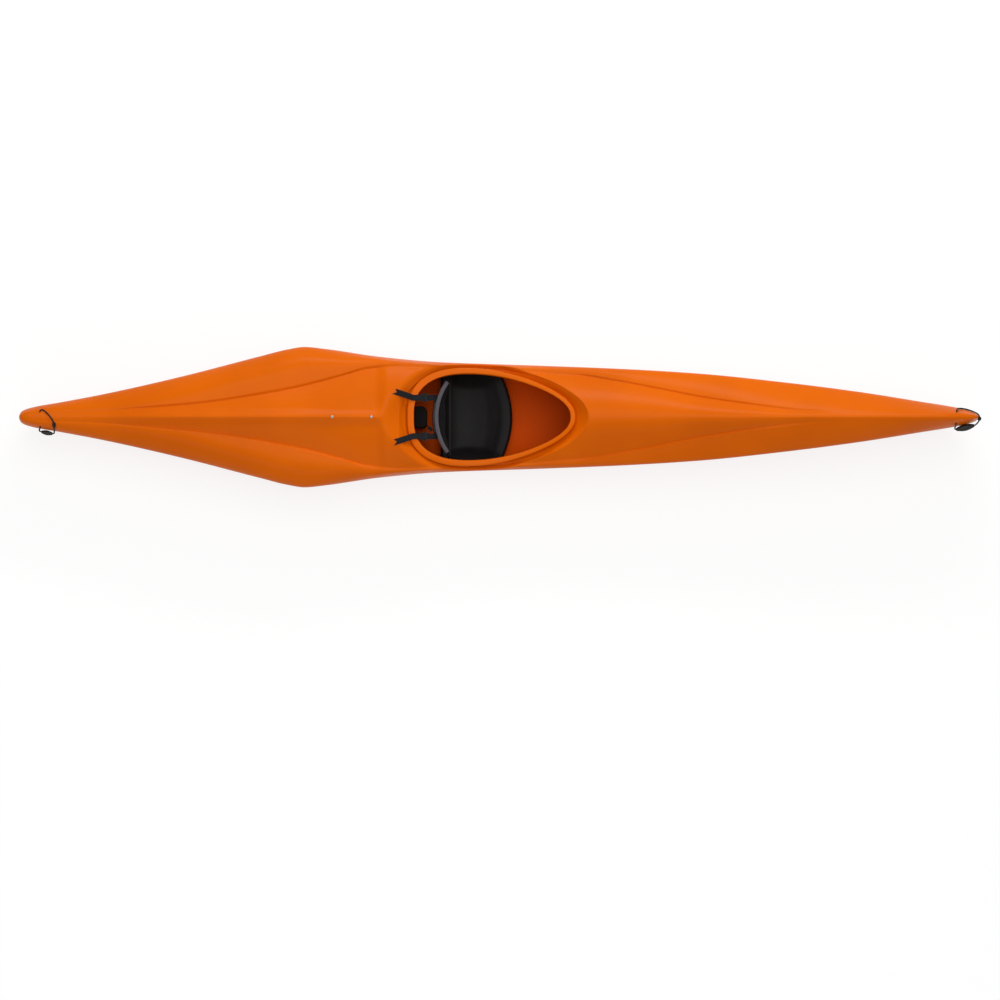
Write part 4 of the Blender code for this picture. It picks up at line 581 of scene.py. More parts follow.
crease_share = smooth_line(
    -10000, 200, -9750, 500, -8500, 700, -7460, 1210, -6200, 1920, -4970, 3130, -4140, 4200,
    -3300, 5690, -2680, 6830, -2000, 7200, 1750, 5850, 2270, 5300, 3140, 4200, 4180, 2790, 5220, 1720,
    6260, 850, 7500, 450, 9500, 400, 9900, 200, 10000, 0)
drop_share = smooth_line(
    -10000, 40, -8500, 140, -7460, 280, -6000, 650, -4970, 950, -4140, 1300, -3300, 1500, -2680, 1700,
    1750, 2250, 2270, 2000, 3140, 1620, 4180, 1300, 5220, 900, 6260, 450, 7300, 160, 9500, 120,
    10000, 40)
crest_share = smooth_line(
    -10000, 40, -9750, 200, -7500, 400, -5000, 1000, -4050, 1250, -3000, 1100, -2000, 600, 2000, 300,
    4000, 450, 6000, 500, 8500, 450, 9700, 200, 10000, 20)
bilge_share = smooth_line(
    -10000, 7500, -8000, 7000, -4050, 7000, -1000, 9300, 2000, 9200, 5000, 8400, 8000, 6200,
    10000, 5500)


class Outline:
    """An egg-shaped outline round the cockpit. Half its width at the angle t from the fore end
    goes as sin(t) ** power * (1 - egg * cos(t)), and power falls by aft_blunt towards the aft."""

    def __init__(self, aft, fore, half_width, egg=OPENING_EGG, aft_blunt=AFT_BLUNT):
        self.centre = (aft + fore) / 2
        self.half_length = (fore - aft) / 2
        self.egg = egg
        self.aft_blunt = aft_blunt
        self.scale = 1.0
        widths = self.width_share(cos(linspace(0, pi, 721)))
        self.scale = half_width / np.max(widths)

    def power(self, p):
        return BLUNT - self.aft_blunt * ease(-p, 0.05, 0.5)

    def width_share(self, p):
        return self.scale * (1 - p * p) ** (self.power(p) / 2) * (1 - self.egg * p)

    def half_width_at(self, x):
        return self.width_share(clip((x - self.centre) / self.half_length, -1, 1))

    def ring(self):
        """Points from the fore end round the port side to the aft end."""
        t = linspace(0, pi, COCKPIT_STEPS + 1)
        x = self.centre + self.half_length * cos(t)
        y = self.scale * np.abs(sin(t)) ** self.power(cos(t)) * (1 - self.egg * cos(t))
        y[[0, -1]] = 0.0
        return x, y

    def reach(self, x, y):
        """One on the outline, less inside it and more outside."""
        p = (x - self.centre) / self.half_length
        q = y / (self.scale * (1 - self.egg * clip(p, -1.5, 1.5)))
        return sqrt(p * p + np.abs(q) ** (2 / self.power(p)))

    def distance(self, x, y):
        """Distance outside the outline: the excess of reach over one, by its own slope."""
        step = 0.001
        along = (self.reach(x + step, y) - self.reach(x - step, y)) / (2 * step)
        across = (self.reach(x, y + step) - self.reach(x, y - step)) / (2 * step)
        return (self.reach(x, y) - 1) / (sqrt(along * along + across * across) + 1e-6)


def grown_opening(room):
    """The opening's outline, grown by room, and by more at its sides and aft end past the neck."""
    past = max(room - WALL, 0.0)
    return Outline(OPENING_AFT - room - 0.5 * past, OPENING_FORE + room,
                   OPENING_WIDTH / 2 + room + 0.21 * past)


OPENING = grown_opening(0.0)
NECK = grown_opening(WALL)
MOAT = Outline(OPENING_AFT - LIP_WIDTH - MOAT_AFT, OPENING_FORE + LIP_WIDTH + MOAT_FORE,
               MOAT_HALF_WIDTH, MOAT_EGG, 0.0)


def saddle(x, low, rise_aft, rise_fore):
    """A height that is lowest amidships and rises with the square of the distance."""
    away = clip(x, MOAT.centre - MOAT.half_length, MOAT.centre + MOAT.half_length)
    away = away - COAMING_LOW_X
    return low + where(away < 0, rise_aft, rise_fore) * away * away


def neck_height(x):
    return saddle(x, *LIP_SADDLE) - NECK_HEIGHT


def moat_height(x):
    return saddle(x, *MOAT_SADDLE)


def station(x):
    return x / (LENGTH / 2)


def half_breadth(x):
    """Half the beam at x, wide enough for the moat and the side deck beside it."""
    inside = np.abs(x - MOAT.centre) < MOAT.half_length
    need = where(inside, MOAT.half_width_at(x) + SIDE_DECK, 0.0)
    return maximum(breadth_share(station(x)) * BEAM / 2, need)


def panel_edge(x):
    """Half the width of the centre panel, out to the crease."""
    return minimum(crease_share(station(x)) * BEAM / 2, 0.96 * half_breadth(x)) + 1e-6


def natural_deck(x, y):
    """The deck without a cockpit: a centre panel between two creases, and outside each a wing
    that steps up, runs level and rolls down to the edge. Aft of the cockpit the panel is sunk on
    both sides of a low ridge."""
    u = station(x)
    edge_y = half_breadth(x)
    edge_z = edge_share(u) * DEPTH
    crease_y = panel_edge(x)
    top_z = top_share(u) * DEPTH
    crease_z = top_z - drop_share(u) * DEPTH
    q = clip(y / crease_y, 0, 1)
    aft = ease(-x, 0.47, 0.53) * ease(x, -1.8, -1.35)
    roof = (sqrt(y * y + 0.005 ** 2) - 0.005) / RIDGE_HALF
    beside = 1 - 0.5 * (1 - roof + sqrt((1 - roof) ** 2 + 0.15 ** 2))
    sunk = PANEL_SUNK * aft * beside
    inner = top_z - (top_z - crease_z) * q ** (1.7 - 0.35 * aft) - sunk
    crisp = clip(ease(-x, 0.36, 0.47) + ease(x, 0.27, 0.42), 0, 1)
    rise = where(x < 0, STEP_RISE_AFT, STEP_RISE_FORE)
    lift = rise * crisp * ease(x, -1.68, -1.42) * ease(-x, -1.45, -1.2)
    wing_z = maximum(crease_z + lift - PANEL_SUNK * 0.66 * aft - edge_z, 0.002)
    bulge = clip(crest_share(u) * DEPTH / wing_z, 0.02, 0.4)
    w = clip((y - crease_y) / (edge_y - crease_y + 1e-9), 0, 1)
    even = 0.62 * ease(x, 0.3, 0.6)
    outer = edge_z + wing_z * (1 - even * w - (1 - even) * w ** -np.log2(0.5 - bulge))
    climb = ease(y - crease_y, 0, STEP_WIDTH)
    foot = crease_z - sunk - edge_z - wing_z
    outer = where(crisp > 0, outer + foot * (1 - climb) * crisp, outer)
    rounding = 0.0011 + 0.02 * (1 - crisp)
    share = ease((y - crease_y) / (2 * rounding) + 0.5, 0, 1)
    return inner * (1 - share) + outer * share


def panel_fall(x, y):
    """How far the panels beside the ridge lie below a plain arched deck."""
    u = station(x)
    q = clip(y / panel_edge(x), 0, 1)
    return top_share(u) * DEPTH - drop_share(u) * DEPTH * q ** 1.7 - natural_deck(x, y)


def cockpit_deck(x, y):
    """The bowl that carries the coaming, from the neck to the moat's edge, and a steep slope."""
    from_neck = maximum(NECK.distance(x, y), 0)
    from_moat = MOAT.distance(x, y)
    share = clip(from_neck / (from_neck + maximum(-from_moat, 0) + 1e-9), 0, 1)
    bowl = neck_height(x) + (moat_height(x) - neck_height(x)) * share
    slope = BULKHEAD_SLOPE + 1.55 * ease(x, -0.1, 0.2)
    return bowl + slope * maximum(from_moat, 0)


def deck_height(x, y):
    """The lower of the natural deck and the cockpit's bowl, with a rounded join, wider aft."""
    a = natural_deck(x, y)
    b = cockpit_deck(x, y)
    round_off = where(x < 0, 0.016, 0.004)
    h = clip(0.5 + 0.5 * (b - a) / round_off, 0, 1)
    return b + (a - b) * h - round_off * h * (1 - h)


def spread(count, power=1.6):
    """Shares from 0 to 1 that lie closer together at both ends."""
    t = linspace(-1, 1, count)
    return 0.5 + 0.5 * np.sign(t) * (1 - (1 - np.abs(t)) ** power)


def side_guides(x, inset):
    """The widths and heights of the four points that guide the bottom and side."""
    edge_y = half_breadth(x)
    edge_z = edge_share(station(x)) * DEPTH
    keel_z = keel_share(station(x)) * DEPTH + inset
    bilge_y = edge_y * bilge_share(station(x))
    side_y = bilge_y + 0.3 * (edge_y - bilge_y) - inset
    side_z = keel_z + 0.45 * (edge_z - keel_z)
    return ((minimum(KEEL_FLAT / 2, 0.4 * edge_y), bilge_y - inset, side_y, edge_y - inset),
            (keel_z, keel_z, side_z, edge_z))


def bezier(guides, t):
    a, b, c, d = guides
    return (1 - t) ** 3 * a + 3 * t * (1 - t) ** 2 * b + 3 * t * t * (1 - t) * c + t ** 3 * d


def half_sections(x, inner_y, inset, bilge, corner, wing, panel, radius):
    """Half cross-sections from the keel's middle to inner_y on the deck: a cubic Bezier curve
    for the bottom and side, a quadratic one round the edge, and the deck."""
    x = x[:, None]
    inner_y = inner_y[:, None]
    edge_y = half_breadth(x)
    across, up = side_guides(x, inset)
    turn = minimum(radius, 0.42 * maximum(edge_y - inner_y, 1e-5))

    def deck(y):
        return deck_height(x, y) - inset * 1.25

    def corner_curve(s, start, peak, end):
        return (1 - s) ** 2 * start + 2 * s * (1 - s) * peak + s * s * end

    speed = 3 * np.hypot(across[3] - across[2], up[3] - up[2])
    last = 1 - clip(turn / maximum(speed, 1e-5), 0, 0.35)
    flat = shares(5)[:-1] * across[0]
    t = shares(bilge) * last
    end_y = edge_y - turn
    end_z = deck(end_y)
    shrink = across[3] / maximum(edge_y, 1e-6)
    s = shares(corner + 2)[1:-1]
    edge_top = minimum(deck(edge_y - 1e-5), end_z + turn * 0.6) if inset else up[3]
    round_y = corner_curve(s, bezier(across, last), across[3], end_y * shrink)
    round_z = corner_curve(s, bezier(up, last), edge_top, end_z)
    crease_y = crease_share(station(x)) * BEAM / 2
    crease_y = clip(crease_y, inner_y + 0.35 * (edge_y - inner_y), 0.9 * edge_y)
    crease_y = minimum(crease_y, end_y - 0.25 * (end_y - inner_y))
    outer_y = end_y + (crease_y - end_y) * spread(wing)
    panel_y = crease_y + (inner_y - crease_y) * spread(panel)[1:]
    deck_y = concatenate([outer_y, panel_y], axis=1)
    deck_z = deck(deck_y)
    if inset:
        deck_y = deck_y * shrink
    y = concatenate([flat, bezier(across, t), round_y, deck_y], axis=1)
    z = concatenate([np.broadcast_to(up[0], flat.shape), bezier(up, t), round_z, deck_z], axis=1)
    if not inset:
        y = y * (edge_y / maximum(y.max(axis=1, keepdims=True), 1e-6))
    return points_at(x, y, z)


def coaming_rings():
    """Rings from the moat's edge, with a fillet up the neck, over the rounded and slightly domed
    lip and down inside the opening."""
    moat_x, moat_y = MOAT.ring()
    neck_x, neck_y = NECK.ring()
    base = neck_height(OPENING.ring()[0])
    width = np.hypot(moat_x - neck_x, moat_y - neck_y)
    shown = 0.6 + 0.18 * ease(moat_x, -0.1, 0.2)
    fillet = minimum(0.011, 0.6 * width)
    rings = []
    for s in shares(19):
        near = maximum(fillet - width * (1 - s), 0)
        rise = fillet - sqrt(maximum(fillet ** 2 - near ** 2, 0))
        sink = minimum(s / shown, 1.0)
        low = moat_height(moat_x) + (base - 0.001 - moat_height(moat_x)) * sink
        rings.append((moat_x * (1 - s) + neck_x * s, moat_y * (1 - s) + neck_y * s, low + rise))
    top = NECK_HEIGHT
    under = top - LIP_THICKNESS
    nose = 0.0044
    profile = [(WALL, 0.5 * under + 0.004), (WALL, under - 0.003)]
    t = linspace(0, pi / 2, 4)[1:]
    profile += list(zip(WALL + 0.003 * (1 - cos(t)), under - 0.003 + 0.003 * sin(t)))
    profile += [(0.5 * (WALL + LIP_WIDTH), under)]
    t = linspace(-pi / 2, pi / 2, 13)
    upper = (t > 0) * (top - under - 2 * nose - 0.0005)
    profile += list(zip(LIP_WIDTH - nose + nose * cos(t), under + nose + nose * sin(t) + upper))
    d = linspace(LIP_WIDTH - nose, LIP_EDGE, 9)[1:-1]
    profile += list(zip(d, top - 0.0005 + 0.0005 * sin((d - LIP_EDGE) / 0.0135 * pi)))
    t = linspace(pi / 2, pi, 6)
    profile += list(zip(LIP_EDGE + LIP_EDGE * cos(t), top - 0.0031 + LIP_EDGE * sin(t)))
    profile += [(0.0, 0.6 * top), (0.0, 0.3 * top), (0.0, 0.1 * top), (0.0, -WALL)]
    rings += [(*grown_opening(room).ring(), base + height) for room, height in profile]
    return array([points_at(*ring) for ring in rings])


def half_skin(before, outline, height, after, *shape):
    """Half a skin from stern to bow, which ends on the outline at this height."""
    x, y = (values[::-1] for values in outline.ring())
    grid = half_sections(concatenate([before, x, after]),
                         concatenate([0 * before, y, 0 * after]), *shape)
    grid[len(before):len(before) + len(x), -1] = points_at(x, y, height(x))
    return grid


def hull_shell():
    """The one-piece hull: outer skin, inner skin and coaming, lofted to port and mirrored."""
    half = LENGTH / 2
    fore, aft = MOAT.ring()[0][[0, -1]]
    open_fore, open_aft = OPENING.ring()[0][[0, -1]]
    stern = concatenate([-half + 0.09 * shares(34)[:-1] ** 2.2,
                            linspace(-half + 0.09, -0.62, 100)[:-1],
                            linspace(-0.62, aft, 40)[:-1]])
    bow = concatenate([fore + (0.6 - fore) * shares(38)[1:] ** 1.7,
                          linspace(0.6, half - 0.1, 96)[1:],
                          half - 0.1 * (1 - shares(38)[1:]) ** 2.2])
    outer = half_skin(stern, MOAT, moat_height, bow, 0.0, 22, 9, 24, 20, 0.017)
    inner = half_skin(linspace(-0.93 * half, open_aft, 70)[:-1], OPENING,
                      lambda x: neck_height(x) - WALL, linspace(open_fore, 0.92 * half, 76)[1:],
                      WALL, 14, 5, 10, 9, 0.01)
    rings = coaming_rings()
    points, faces, caps = [], [], []
    first = 0
    for side in (1, -1):
        for grid in (outer, inner, rings):
            rows, columns = grid.shape[:2]
            points.append((grid * array([1.0, side, 1.0])).reshape(-1, 3))
            faces.append(grid_faces(rows, columns, first))
            if grid is inner:
                caps.append((first, first + (rows - 1) * columns))
            first += rows * columns
    quads = concatenate(faces).tolist()
    count = inner.shape[1]
    for port, starboard in zip(*caps):
        quads.append([port + i for i in range(count)]
                     + [starboard + i for i in range(count - 2, 0, -1)])
    mesh = bpy.data.meshes.new("hull_surface")
    mesh.from_pydata(concatenate(points).tolist(), [], quads)
    weld(mesh, 2e-6)
    smooth_faces(mesh)
    return new_object("hull_surface", mesh)


placed(hull_shell(), "hull", "hull_orange", "hull_shell")


# The seat, whose sides and skirts follow the hull's inside

SEAT_REAR = -0.246
SEAT_RIM_X = -0.2105
SEAT_HALF_FLAT = 0.11
SEAT_BEND = 0.01
seat_line = smooth_line(
    -2400, 780, -2220, 600, -1700, 390, -1200, 340, -500, 410, 0, 560, 350, 700, 580, 730)
seat_wing = smooth_line(
    -2400, 1750, -2220, 1980, -1900, 2130, -500, 2120, -180, 1750, 100, 1200, 580, 950)


def solved(guides, goal, read):
    """Where the hull's inner curve reaches the goal in one direction, read in the other."""
    low = np.zeros_like(goal)
    high = np.ones_like(goal)
    for _ in range(24):
        t = (low + high) / 2
        here = bezier(guides, t)
        low = where(here < goal, t, low)
        high = where(here < goal, high, t)
    return bezier(read, (low + high) / 2)


def inner_half_width(x, z):
    across, up = side_guides(x, WALL)
    return solved(up, z, across)


def inner_floor(x, y):
    across, up = side_guides(x, WALL)
    return solved(across, y, up)


def seat_grid():
    """The bucket, from its rear skirt's foot to its front skirt's: a dished flat along the seat
    line that turns up into wings beside the hull's sides, and down to a skirt at each end."""
    v = shares(52)
    share = shares(64)[:, None]
    rear = SEAT_REAR + SEAT_BEND
    flat_y = minimum(v / 0.3, 1.0) * SEAT_HALF_FLAT
    t = clip((v - 0.3) / 0.7, 0, 1)
    y = 0.19 * v ** 0.6 + 0 * share
    for _ in range(3):
        front = 0.052 - 1.4 * minimum(y, 0.185) ** 2 - SEAT_BEND
        x = rear + (front - rear) * share
        line_x = -0.24 + 0.298 * (x - rear) / (front - rear)
        rim = 0.0016 * exp(-((x - SEAT_RIM_X) / 0.0028) ** 2) * ease(-y, -0.168, -0.15)
        low = seat_line(line_x) + rim
        start = low + 0.006
        wing = start + (maximum(seat_wing(x), start + 0.02) - start) * t ** 1.25
        wall = inner_half_width(x, wing) - 0.01
        side = SEAT_HALF_FLAT + (wall - SEAT_HALF_FLAT) * sin(t * pi / 2) ** 0.4
        y = where(v <= 0.3, flat_y + 0 * share, side)
    z = where(v <= 0.3, low + 0.006 * (flat_y / SEAT_HALF_FLAT) ** 2, wing)
    rows = [points_at(x, y, z)]
    turn = linspace(0, pi / 2, 9)[1:, None]
    down = shares(12)[1:, None]
    for end, way in ((0, -1.0), (-1, 1.0)):
        ex, ey, ez = x[end], y[end], z[end]
        foot = inner_floor(ex + way * SEAT_BEND, ey + 0.007) + 0.0012
        top = ez - SEAT_BEND
        drop = minimum(foot, top - 0.002)
        curve = points_at(ex + way * SEAT_BEND * sin(turn), ey, ez - SEAT_BEND * (1 - cos(turn)))
        skirt = points_at(ex + way * (SEAT_BEND + 0.002 * down), ey, top + (drop - top) * down)
        edge = concatenate([curve, skirt])
        rows = [edge[::-1]] + rows if end == 0 else rows + [edge]
    return concatenate(rows)


def build_seat():
    port = seat_grid()
    starboard = port[:, :0:-1] * array([1.0, -1.0, 1.0])
    item = surface("seat_bucket", concatenate([starboard, port], axis=1))
    wall = item.modifiers.new("wall", "SOLIDIFY")
    wall.thickness = 0.004
    wall.offset = -1.0
    wall.use_even_offset = False
    rounded(item, 0.0012, 3, 60)
    placed(item, "hull", "seat_black", "seat_pan")


build_seat()


# Fastenings, each on its node's own place and direction

def own_axis(node):
    """A turned node's middle and its axis, the way it is longest, towards its wide end."""
    points = np.unique(np.round(points_of(nodes[node].data), 6), axis=0)
    middle = (points.min(axis=0) + points.max(axis=0)) / 2
    axis = np.linalg.svd(points - points.mean(axis=0), full_matrices=False)[2][0]
    along = (points - middle) @ axis
    off = np.linalg.norm(points - middle - along[:, None] * axis, axis=1)
    if along[off > 0.7 * off.max()].mean() < (along.max() + along.min()) / 2:
        axis, along = -axis, -along
    return middle, axis, float(along.min()), float(along.max())


def pan_head(node):
    """A pan-head bolt with a socket in its domed head and a plain rounded end."""
    middle, axis, low, high = own_axis(node)
    r = 0.0062
    h = 0.0032
    base = high - h
    t = linspace(0, pi / 2, 8)
    dome = list(zip(r * cos(t) ** 0.7, base + 0.0006 + (h - 0.0006) * sin(t) ** 1.3))
    profile = [(0.0, low), (0.0024, low), (0.003, low + 0.0008), (0.003, base), (r * 0.97, base),
               (r, base + 0.0003), *(p for p in dome if p[0] > 0.0024),
               (0.0022, base + h - 0.0001), (0.0019, base + h - 0.0004), (0.0018, base + 0.0012),
               (0.0, base + 0.0009)]
    words = node.split("_")
    name = "_".join(words[:2] + ["head"] + words[2:])
    item = turned(name, profile, middle, axis, steps=36, angle=40)
    placed(item, "hull", "bolt_steel", node)


for node in ("deck_screw_1", "deck_screw_2", "seat_bolt_left", "rail_bolt_left_1",
             "rail_bolt_left_2", "seat_bolt_right", "rail_bolt_right_1", "rail_bolt_right_2"):
    pan_head(node)


# Pieces whose own solids are right

for word in ("left", "right"):
    dressed("seat_spacer_" + word, "hull", "buckle_black", 0.0008)
    dressed("hinge_stud_" + word, "hull", "bolt_steel", 0.0002)
    dressed("seat_nut_" + word, "hull", "bolt_steel", 0.0004)
    dressed("footrest_rail_" + word, "hull", "track_alloy", 0.0005)
    for number in (1, 2):
        dressed("rail_nut_%s_%d" % (word, number), "hull", "bolt_steel", 0.0004)
    dressed("footrest_pedal_" + word, "pedal_" + word, "pedal_black", 0.0009, 3)
    dressed("latch_pin_" + word, "pedal_" + word, "bolt_steel", 0.0003)
    dressed("latch_lever_" + word, "latch_" + word, "pedal_black", 0.0007)
    dressed("ladder_buckle_" + word, "hull", "buckle_black", 0.0005, 3)


def hung(item, reach):
    """Lowers what lies within reach of the rear deck by as much as its panels are sunk."""
    points = points_of(item.data)
    x, y, z = points[:, 0], np.abs(points[:, 1]), points[:, 2]
    near = ease(z - top_share(station(x)) * DEPTH, -reach - 0.03, -reach)
    points[:, 2] = z - near * maximum(panel_fall(x, y), 0)
    move_points(item.data, points)


hung(dressed("pillar_bracket", "hull", "buckle_black", 0.0012, 3), 0.1)
hung(dressed("stern_pillar", "hull", "foam_dark", 0.006, 4, 25, 60), 0.05)
dressed("bow_pillar", "hull", "foam_dark", 0.006, 4, 25, 60)
dressed("backband_shell", "backband", "band_black", 0.0011, 3)


# The backband's pad, its tape and the rolled edge behind it

BAND_RADIUS = 0.2626
BAND_MIDDLE = array([-0.0044, 0.0])
BAND_END = asin(0.147 / BAND_RADIUS)
BAND_LOW = 0.145
BAND_TOP = 0.285
PAD_HALF = 1.03
PAD_DEPTH = 0.0118
LUMBAR = 0.0135
CHANNELS = (0.19, 0.24)
ROLL_HALF = 0.43


def band_arc(radius, share):
    """Points of the band's plan arc, for shares from -1 to 1 of its half angle."""
    return BAND_MIDDLE[0] - radius * cos(BAND_END * share), radius * sin(BAND_END * share)


def pad_grid(swell_by):
    """The pad's front and back round the band: thick in the middle and thin at its edges."""
    a = linspace(-PAD_HALF, PAD_HALF, 65)[:, None]
    v = shares(25)
    height = BAND_LOW + (BAND_TOP - BAND_LOW) * (0.5 + (v - 0.5) * (1 - 0.12 * a ** 4))
    swell = (1 - 0.42 * np.abs(a / PAD_HALF) ** 6) * (1 - 0.35 * np.abs(2 * v - 1) ** 5)
    lumbar = LUMBAR * exp(-((v - 0.42) / 0.26) ** 2) * (1 - 0.8 * np.abs(a / PAD_HALF) ** 3)
    front = BAND_RADIUS - (PAD_DEPTH + lumbar) * swell * swell_by
    back = BAND_RADIUS - 0.0004 + 0 * swell
    front, back = (points_at(*band_arc(radius, a), height) for radius in (front, back))
    return concatenate([front, back[:, ::-1]], axis=1)


def evaluated(item):
    return item.evaluated_get(bpy.context.evaluated_depsgraph_get())


def puffed(item, pressure, cap):
    """The piece, remeshed and swelled as cloth under inner pressure, moved at most by cap."""
    remesh = item.modifiers.new("even", "REMESH")
    remesh.mode = "VOXEL"
    remesh.voxel_size = 0.0036
    bpy.context.view_layer.update()
    even = bpy.data.meshes.new_from_object(evaluated(item))
    item.modifiers.clear()
    old = item.data
    item.data = even
    bpy.data.meshes.remove(old)
    rest = points_of(even)
    cloth = item.modifiers.new("cloth", "CLOTH").settings
    cloth.use_pressure = True
    cloth.uniform_pressure_force = pressure
    cloth.effector_weights.gravity = 0.0
    cloth.quality = 5
    scene = bpy.context.scene
    for step in range(1, 21):
        scene.frame_set(step)
    way = points_of(evaluated(item).data) - rest
    item.modifiers.clear()
    scene.frame_set(1)
    far = np.linalg.norm(way, axis=1, keepdims=True)
    move_points(even, rest + way * minimum(1.0, cap / maximum(far, 1e-9)))
    return item


def tape_height(share):
    """Height of the tape's middle along the band, lower at its two ends."""
    return BAND_TOP - 0.0056 - 0.01 * np.abs(share) ** 4


def build_pad():
    """The foam pad: swelled, held off the shell behind it, drawn in along two sewn channels and
    under the tape, and smoothed."""
    item = puffed(surface("band_pad", pad_grid(0.85), wrap=True, ends=True), 4.0, 0.005)
    points = points_of(item.data)
    flat = points[:, :2] - BAND_MIDDLE
    radius = np.linalg.norm(flat, axis=1)
    front = ease(BAND_RADIUS - radius, 0.002, 0.008)
    groove = sum(exp(-((points[:, 2] - z) / 0.0032) ** 2) for z in CHANNELS)
    goal = minimum(radius + 0.0042 * groove * front, BAND_RADIUS - 0.0003)
    share = np.arctan2(flat[:, 1], -flat[:, 0]) / BAND_END
    below_tape = tape_height(share) - 0.0105 - points[:, 2]
    goal = maximum(goal, BAND_RADIUS - 0.0064 - 0.0226 * ease(below_tape, -0.001, 0.022))
    points[:, :2] = BAND_MIDDLE + flat * (goal / radius)[:, None]
    points[:, 2] = clip(points[:, 2], BAND_LOW - 0.002, BAND_TOP - 0.003)
    move_points(item.data, points)
    smooth_faces(item.data)
    finer = item.modifiers.new("smooth", "SUBSURF")
    finer.levels = 1
    finer.render_levels = 1
    placed(item, "backband", "pad_grey", "backband_pad")


def build_binding():
    """The half-round tape over the pad's top edge, which turns down a little at its ends."""
    share = linspace(-1.02, 1.02, 90)
    path = points_at(*band_arc(BAND_RADIUS + 0.0004, share), tape_height(share))
    t = linspace(0, pi, 11)
    arch = points_at(0.0086 * cos(t), 0.0054 * sin(t))
    leg = array([[0.0074, -0.001], [0.0074, -0.008], [0.0076, -0.0112], [0.0086, -0.011],
                    [0.0086, -0.008], [0.0086, -0.004]])
    outline = concatenate([arch, leg[::-1] * array([-1.0, 1.0]), leg])
    item = sweep("pad_binding", path, outline, up=UP, angle=50)
    placed(item, "backband", "pad_grey", finish=BINDING)


def build_back_roll():
    """The rolled black edge behind the tape, between the straps: it stiffens the shell."""
    share = linspace(-ROLL_HALF, ROLL_HALF, 60)
    path = points_at(*band_arc(0.2752, share), 0.261)
    t = circle(16)
    ends = clip((ROLL_HALF - np.abs(share)) / 0.028, 0, 1)
    item = sweep("band_back_roll", path, points_at(0.006 * cos(t), 0.0085 * sin(t)),
                 up=UP, size=0.35 + 0.65 * sqrt(1 - (1 - ends) ** 2))
    placed(item, "backband", "band_black")


build_pad()
build_binding()
build_back_roll()


# Adjusting straps, their tabs and the shock cord

STRAP_ROUTE = route(
    -2632, 820, 2460, -2642, 820, 2620, -2805, 820, 2809, -3047, 820, 3029, -3295, 820, 3215,
    -3415, 820, 3246, -3640, 820, 3308, -3878, 898, 3430, -4117, 976, 3570, -4276, 1028, 3651,
    -4500, 1102, 3712)


def build_strap(side, word):
    """Webbing from the band over the lip to its swallow-tailed end on the rear deck."""
    path = smooth_path(STRAP_ROUTE * array([1.0, side, 1.0]), 0.0035)
    outline = flat_profile(0.025, 0.0016)
    run = lengths(path)
    late = clip((run - run[-1] + 0.024) / 0.024, 0, 1) ** 1.5
    across = outline[:, 0] / 0.0125
    tail = -0.015 * (1 - np.abs(across)) - 0.0035 * (1 - across)
    item = sweep("strap_" + word, path, outline, up=UP,
                 shift=late[:, None] * tail, angle=50, fold=3)
    placed(item, "backband", "strap_webbing", "backband_strap_" + word,
           between=((-0.325, 0.0, 0.3), (-0.268, 0.0, 0.262)))
    declared(item, path[run <= run[-1] - 0.0095], 0.025, "bare")


build_strap(1, "left")
build_strap(-1, "right")
for word in ("left", "right"):
    dressed("buckle_tab_" + word, "hull", "strap_webbing", 0.0003, 1,
            finish=FINISHES["buckle_black"])


def build_shock_cord():
    """The short elastic cord from the pillar's corner to the back of the band."""
    start = array([-0.3075, -0.034, 0.25])
    middle = array([-0.2935, -0.049, 0.256])
    end = array([-0.2666, -0.062, 0.246])
    along = unit(end - start)
    route = [start - (0, 0, 0.02), start - (0, 0, 0.012), start + (0.0016, 0, 0),
             middle - along * 0.007, middle, middle + along * 0.007, end - (0.0016, 0, 0),
             end - (0, 0, 0.012), end - (0, 0, 0.02)]
    path = smooth_path(route, 0.002)
    item = tube("shock_cord", path, 0.0022, 12)
    t = linspace(0, TURN * 3.2, 80)[:, None]
    side, other = two_sides(along, UP)
    coil = (middle + np.outer(linspace(-0.0078, 0.0078, 80), along)
            + 0.0052 * (cos(t) * side + sin(t) * other))
    tail = coil[-1] + np.outer(shares(9)[1:], (-0.004, -0.006, -0.014))
    knot = tube("shock_cord_wraps", concatenate([coil, tail]), 0.0028, 12)
    for piece, node in ((item, "backband_cord"), (knot, "backband_cord_knot")):
        placed(piece, "backband", "rope_black", node, finish=SHOCK_CORD,
               between=((-0.3, -0.04, 0.25), (-0.268, -0.06, 0.246)))
    declared(item, path, 0.0044, "object", knot)


build_shock_cord()


# Grab loops: the rope's route, the grip's ends, and the knot's middle, direction, turns and length

BOW_LOOP = route(
    19431, 150, 3760, 19434, 212, 3843, 19447, 287, 3868, 19474, 332, 3800, 19515, 352, 3665,
    19584, 361, 3490, 19657, 361, 3410, 19735, 356, 3365, 19818, 343, 3325, 19899, 326, 3300,
    19990, 301, 3285, 20081, 271, 3290, 20162, 238, 3310, 20246, 200, 3345, 20325, 160, 3385,
    20390, 110, 3430, 20434, 50, 3470, 20452, -12, 3484, 20450, -80, 3465, 20430, -150, 3435,
    20395, -220, 3385, 20345, -285, 3320, 20295, -335, 3262, 20240, -360, 3222, 20135, -384, 3232,
    19993, -417, 3249, 19850, -450, 3265, 19707, -483, 3281, 19565, -516, 3298, 19470, -537, 3312,
    19415, -535, 3335, 19390, -510, 3380, 19392, -470, 3430, 19404, -432, 3490, 19416, -398, 3560,
    19426, -356, 3640, 19431, -310, 3690, 19432, -265, 3700, 19432, -215, 3690)
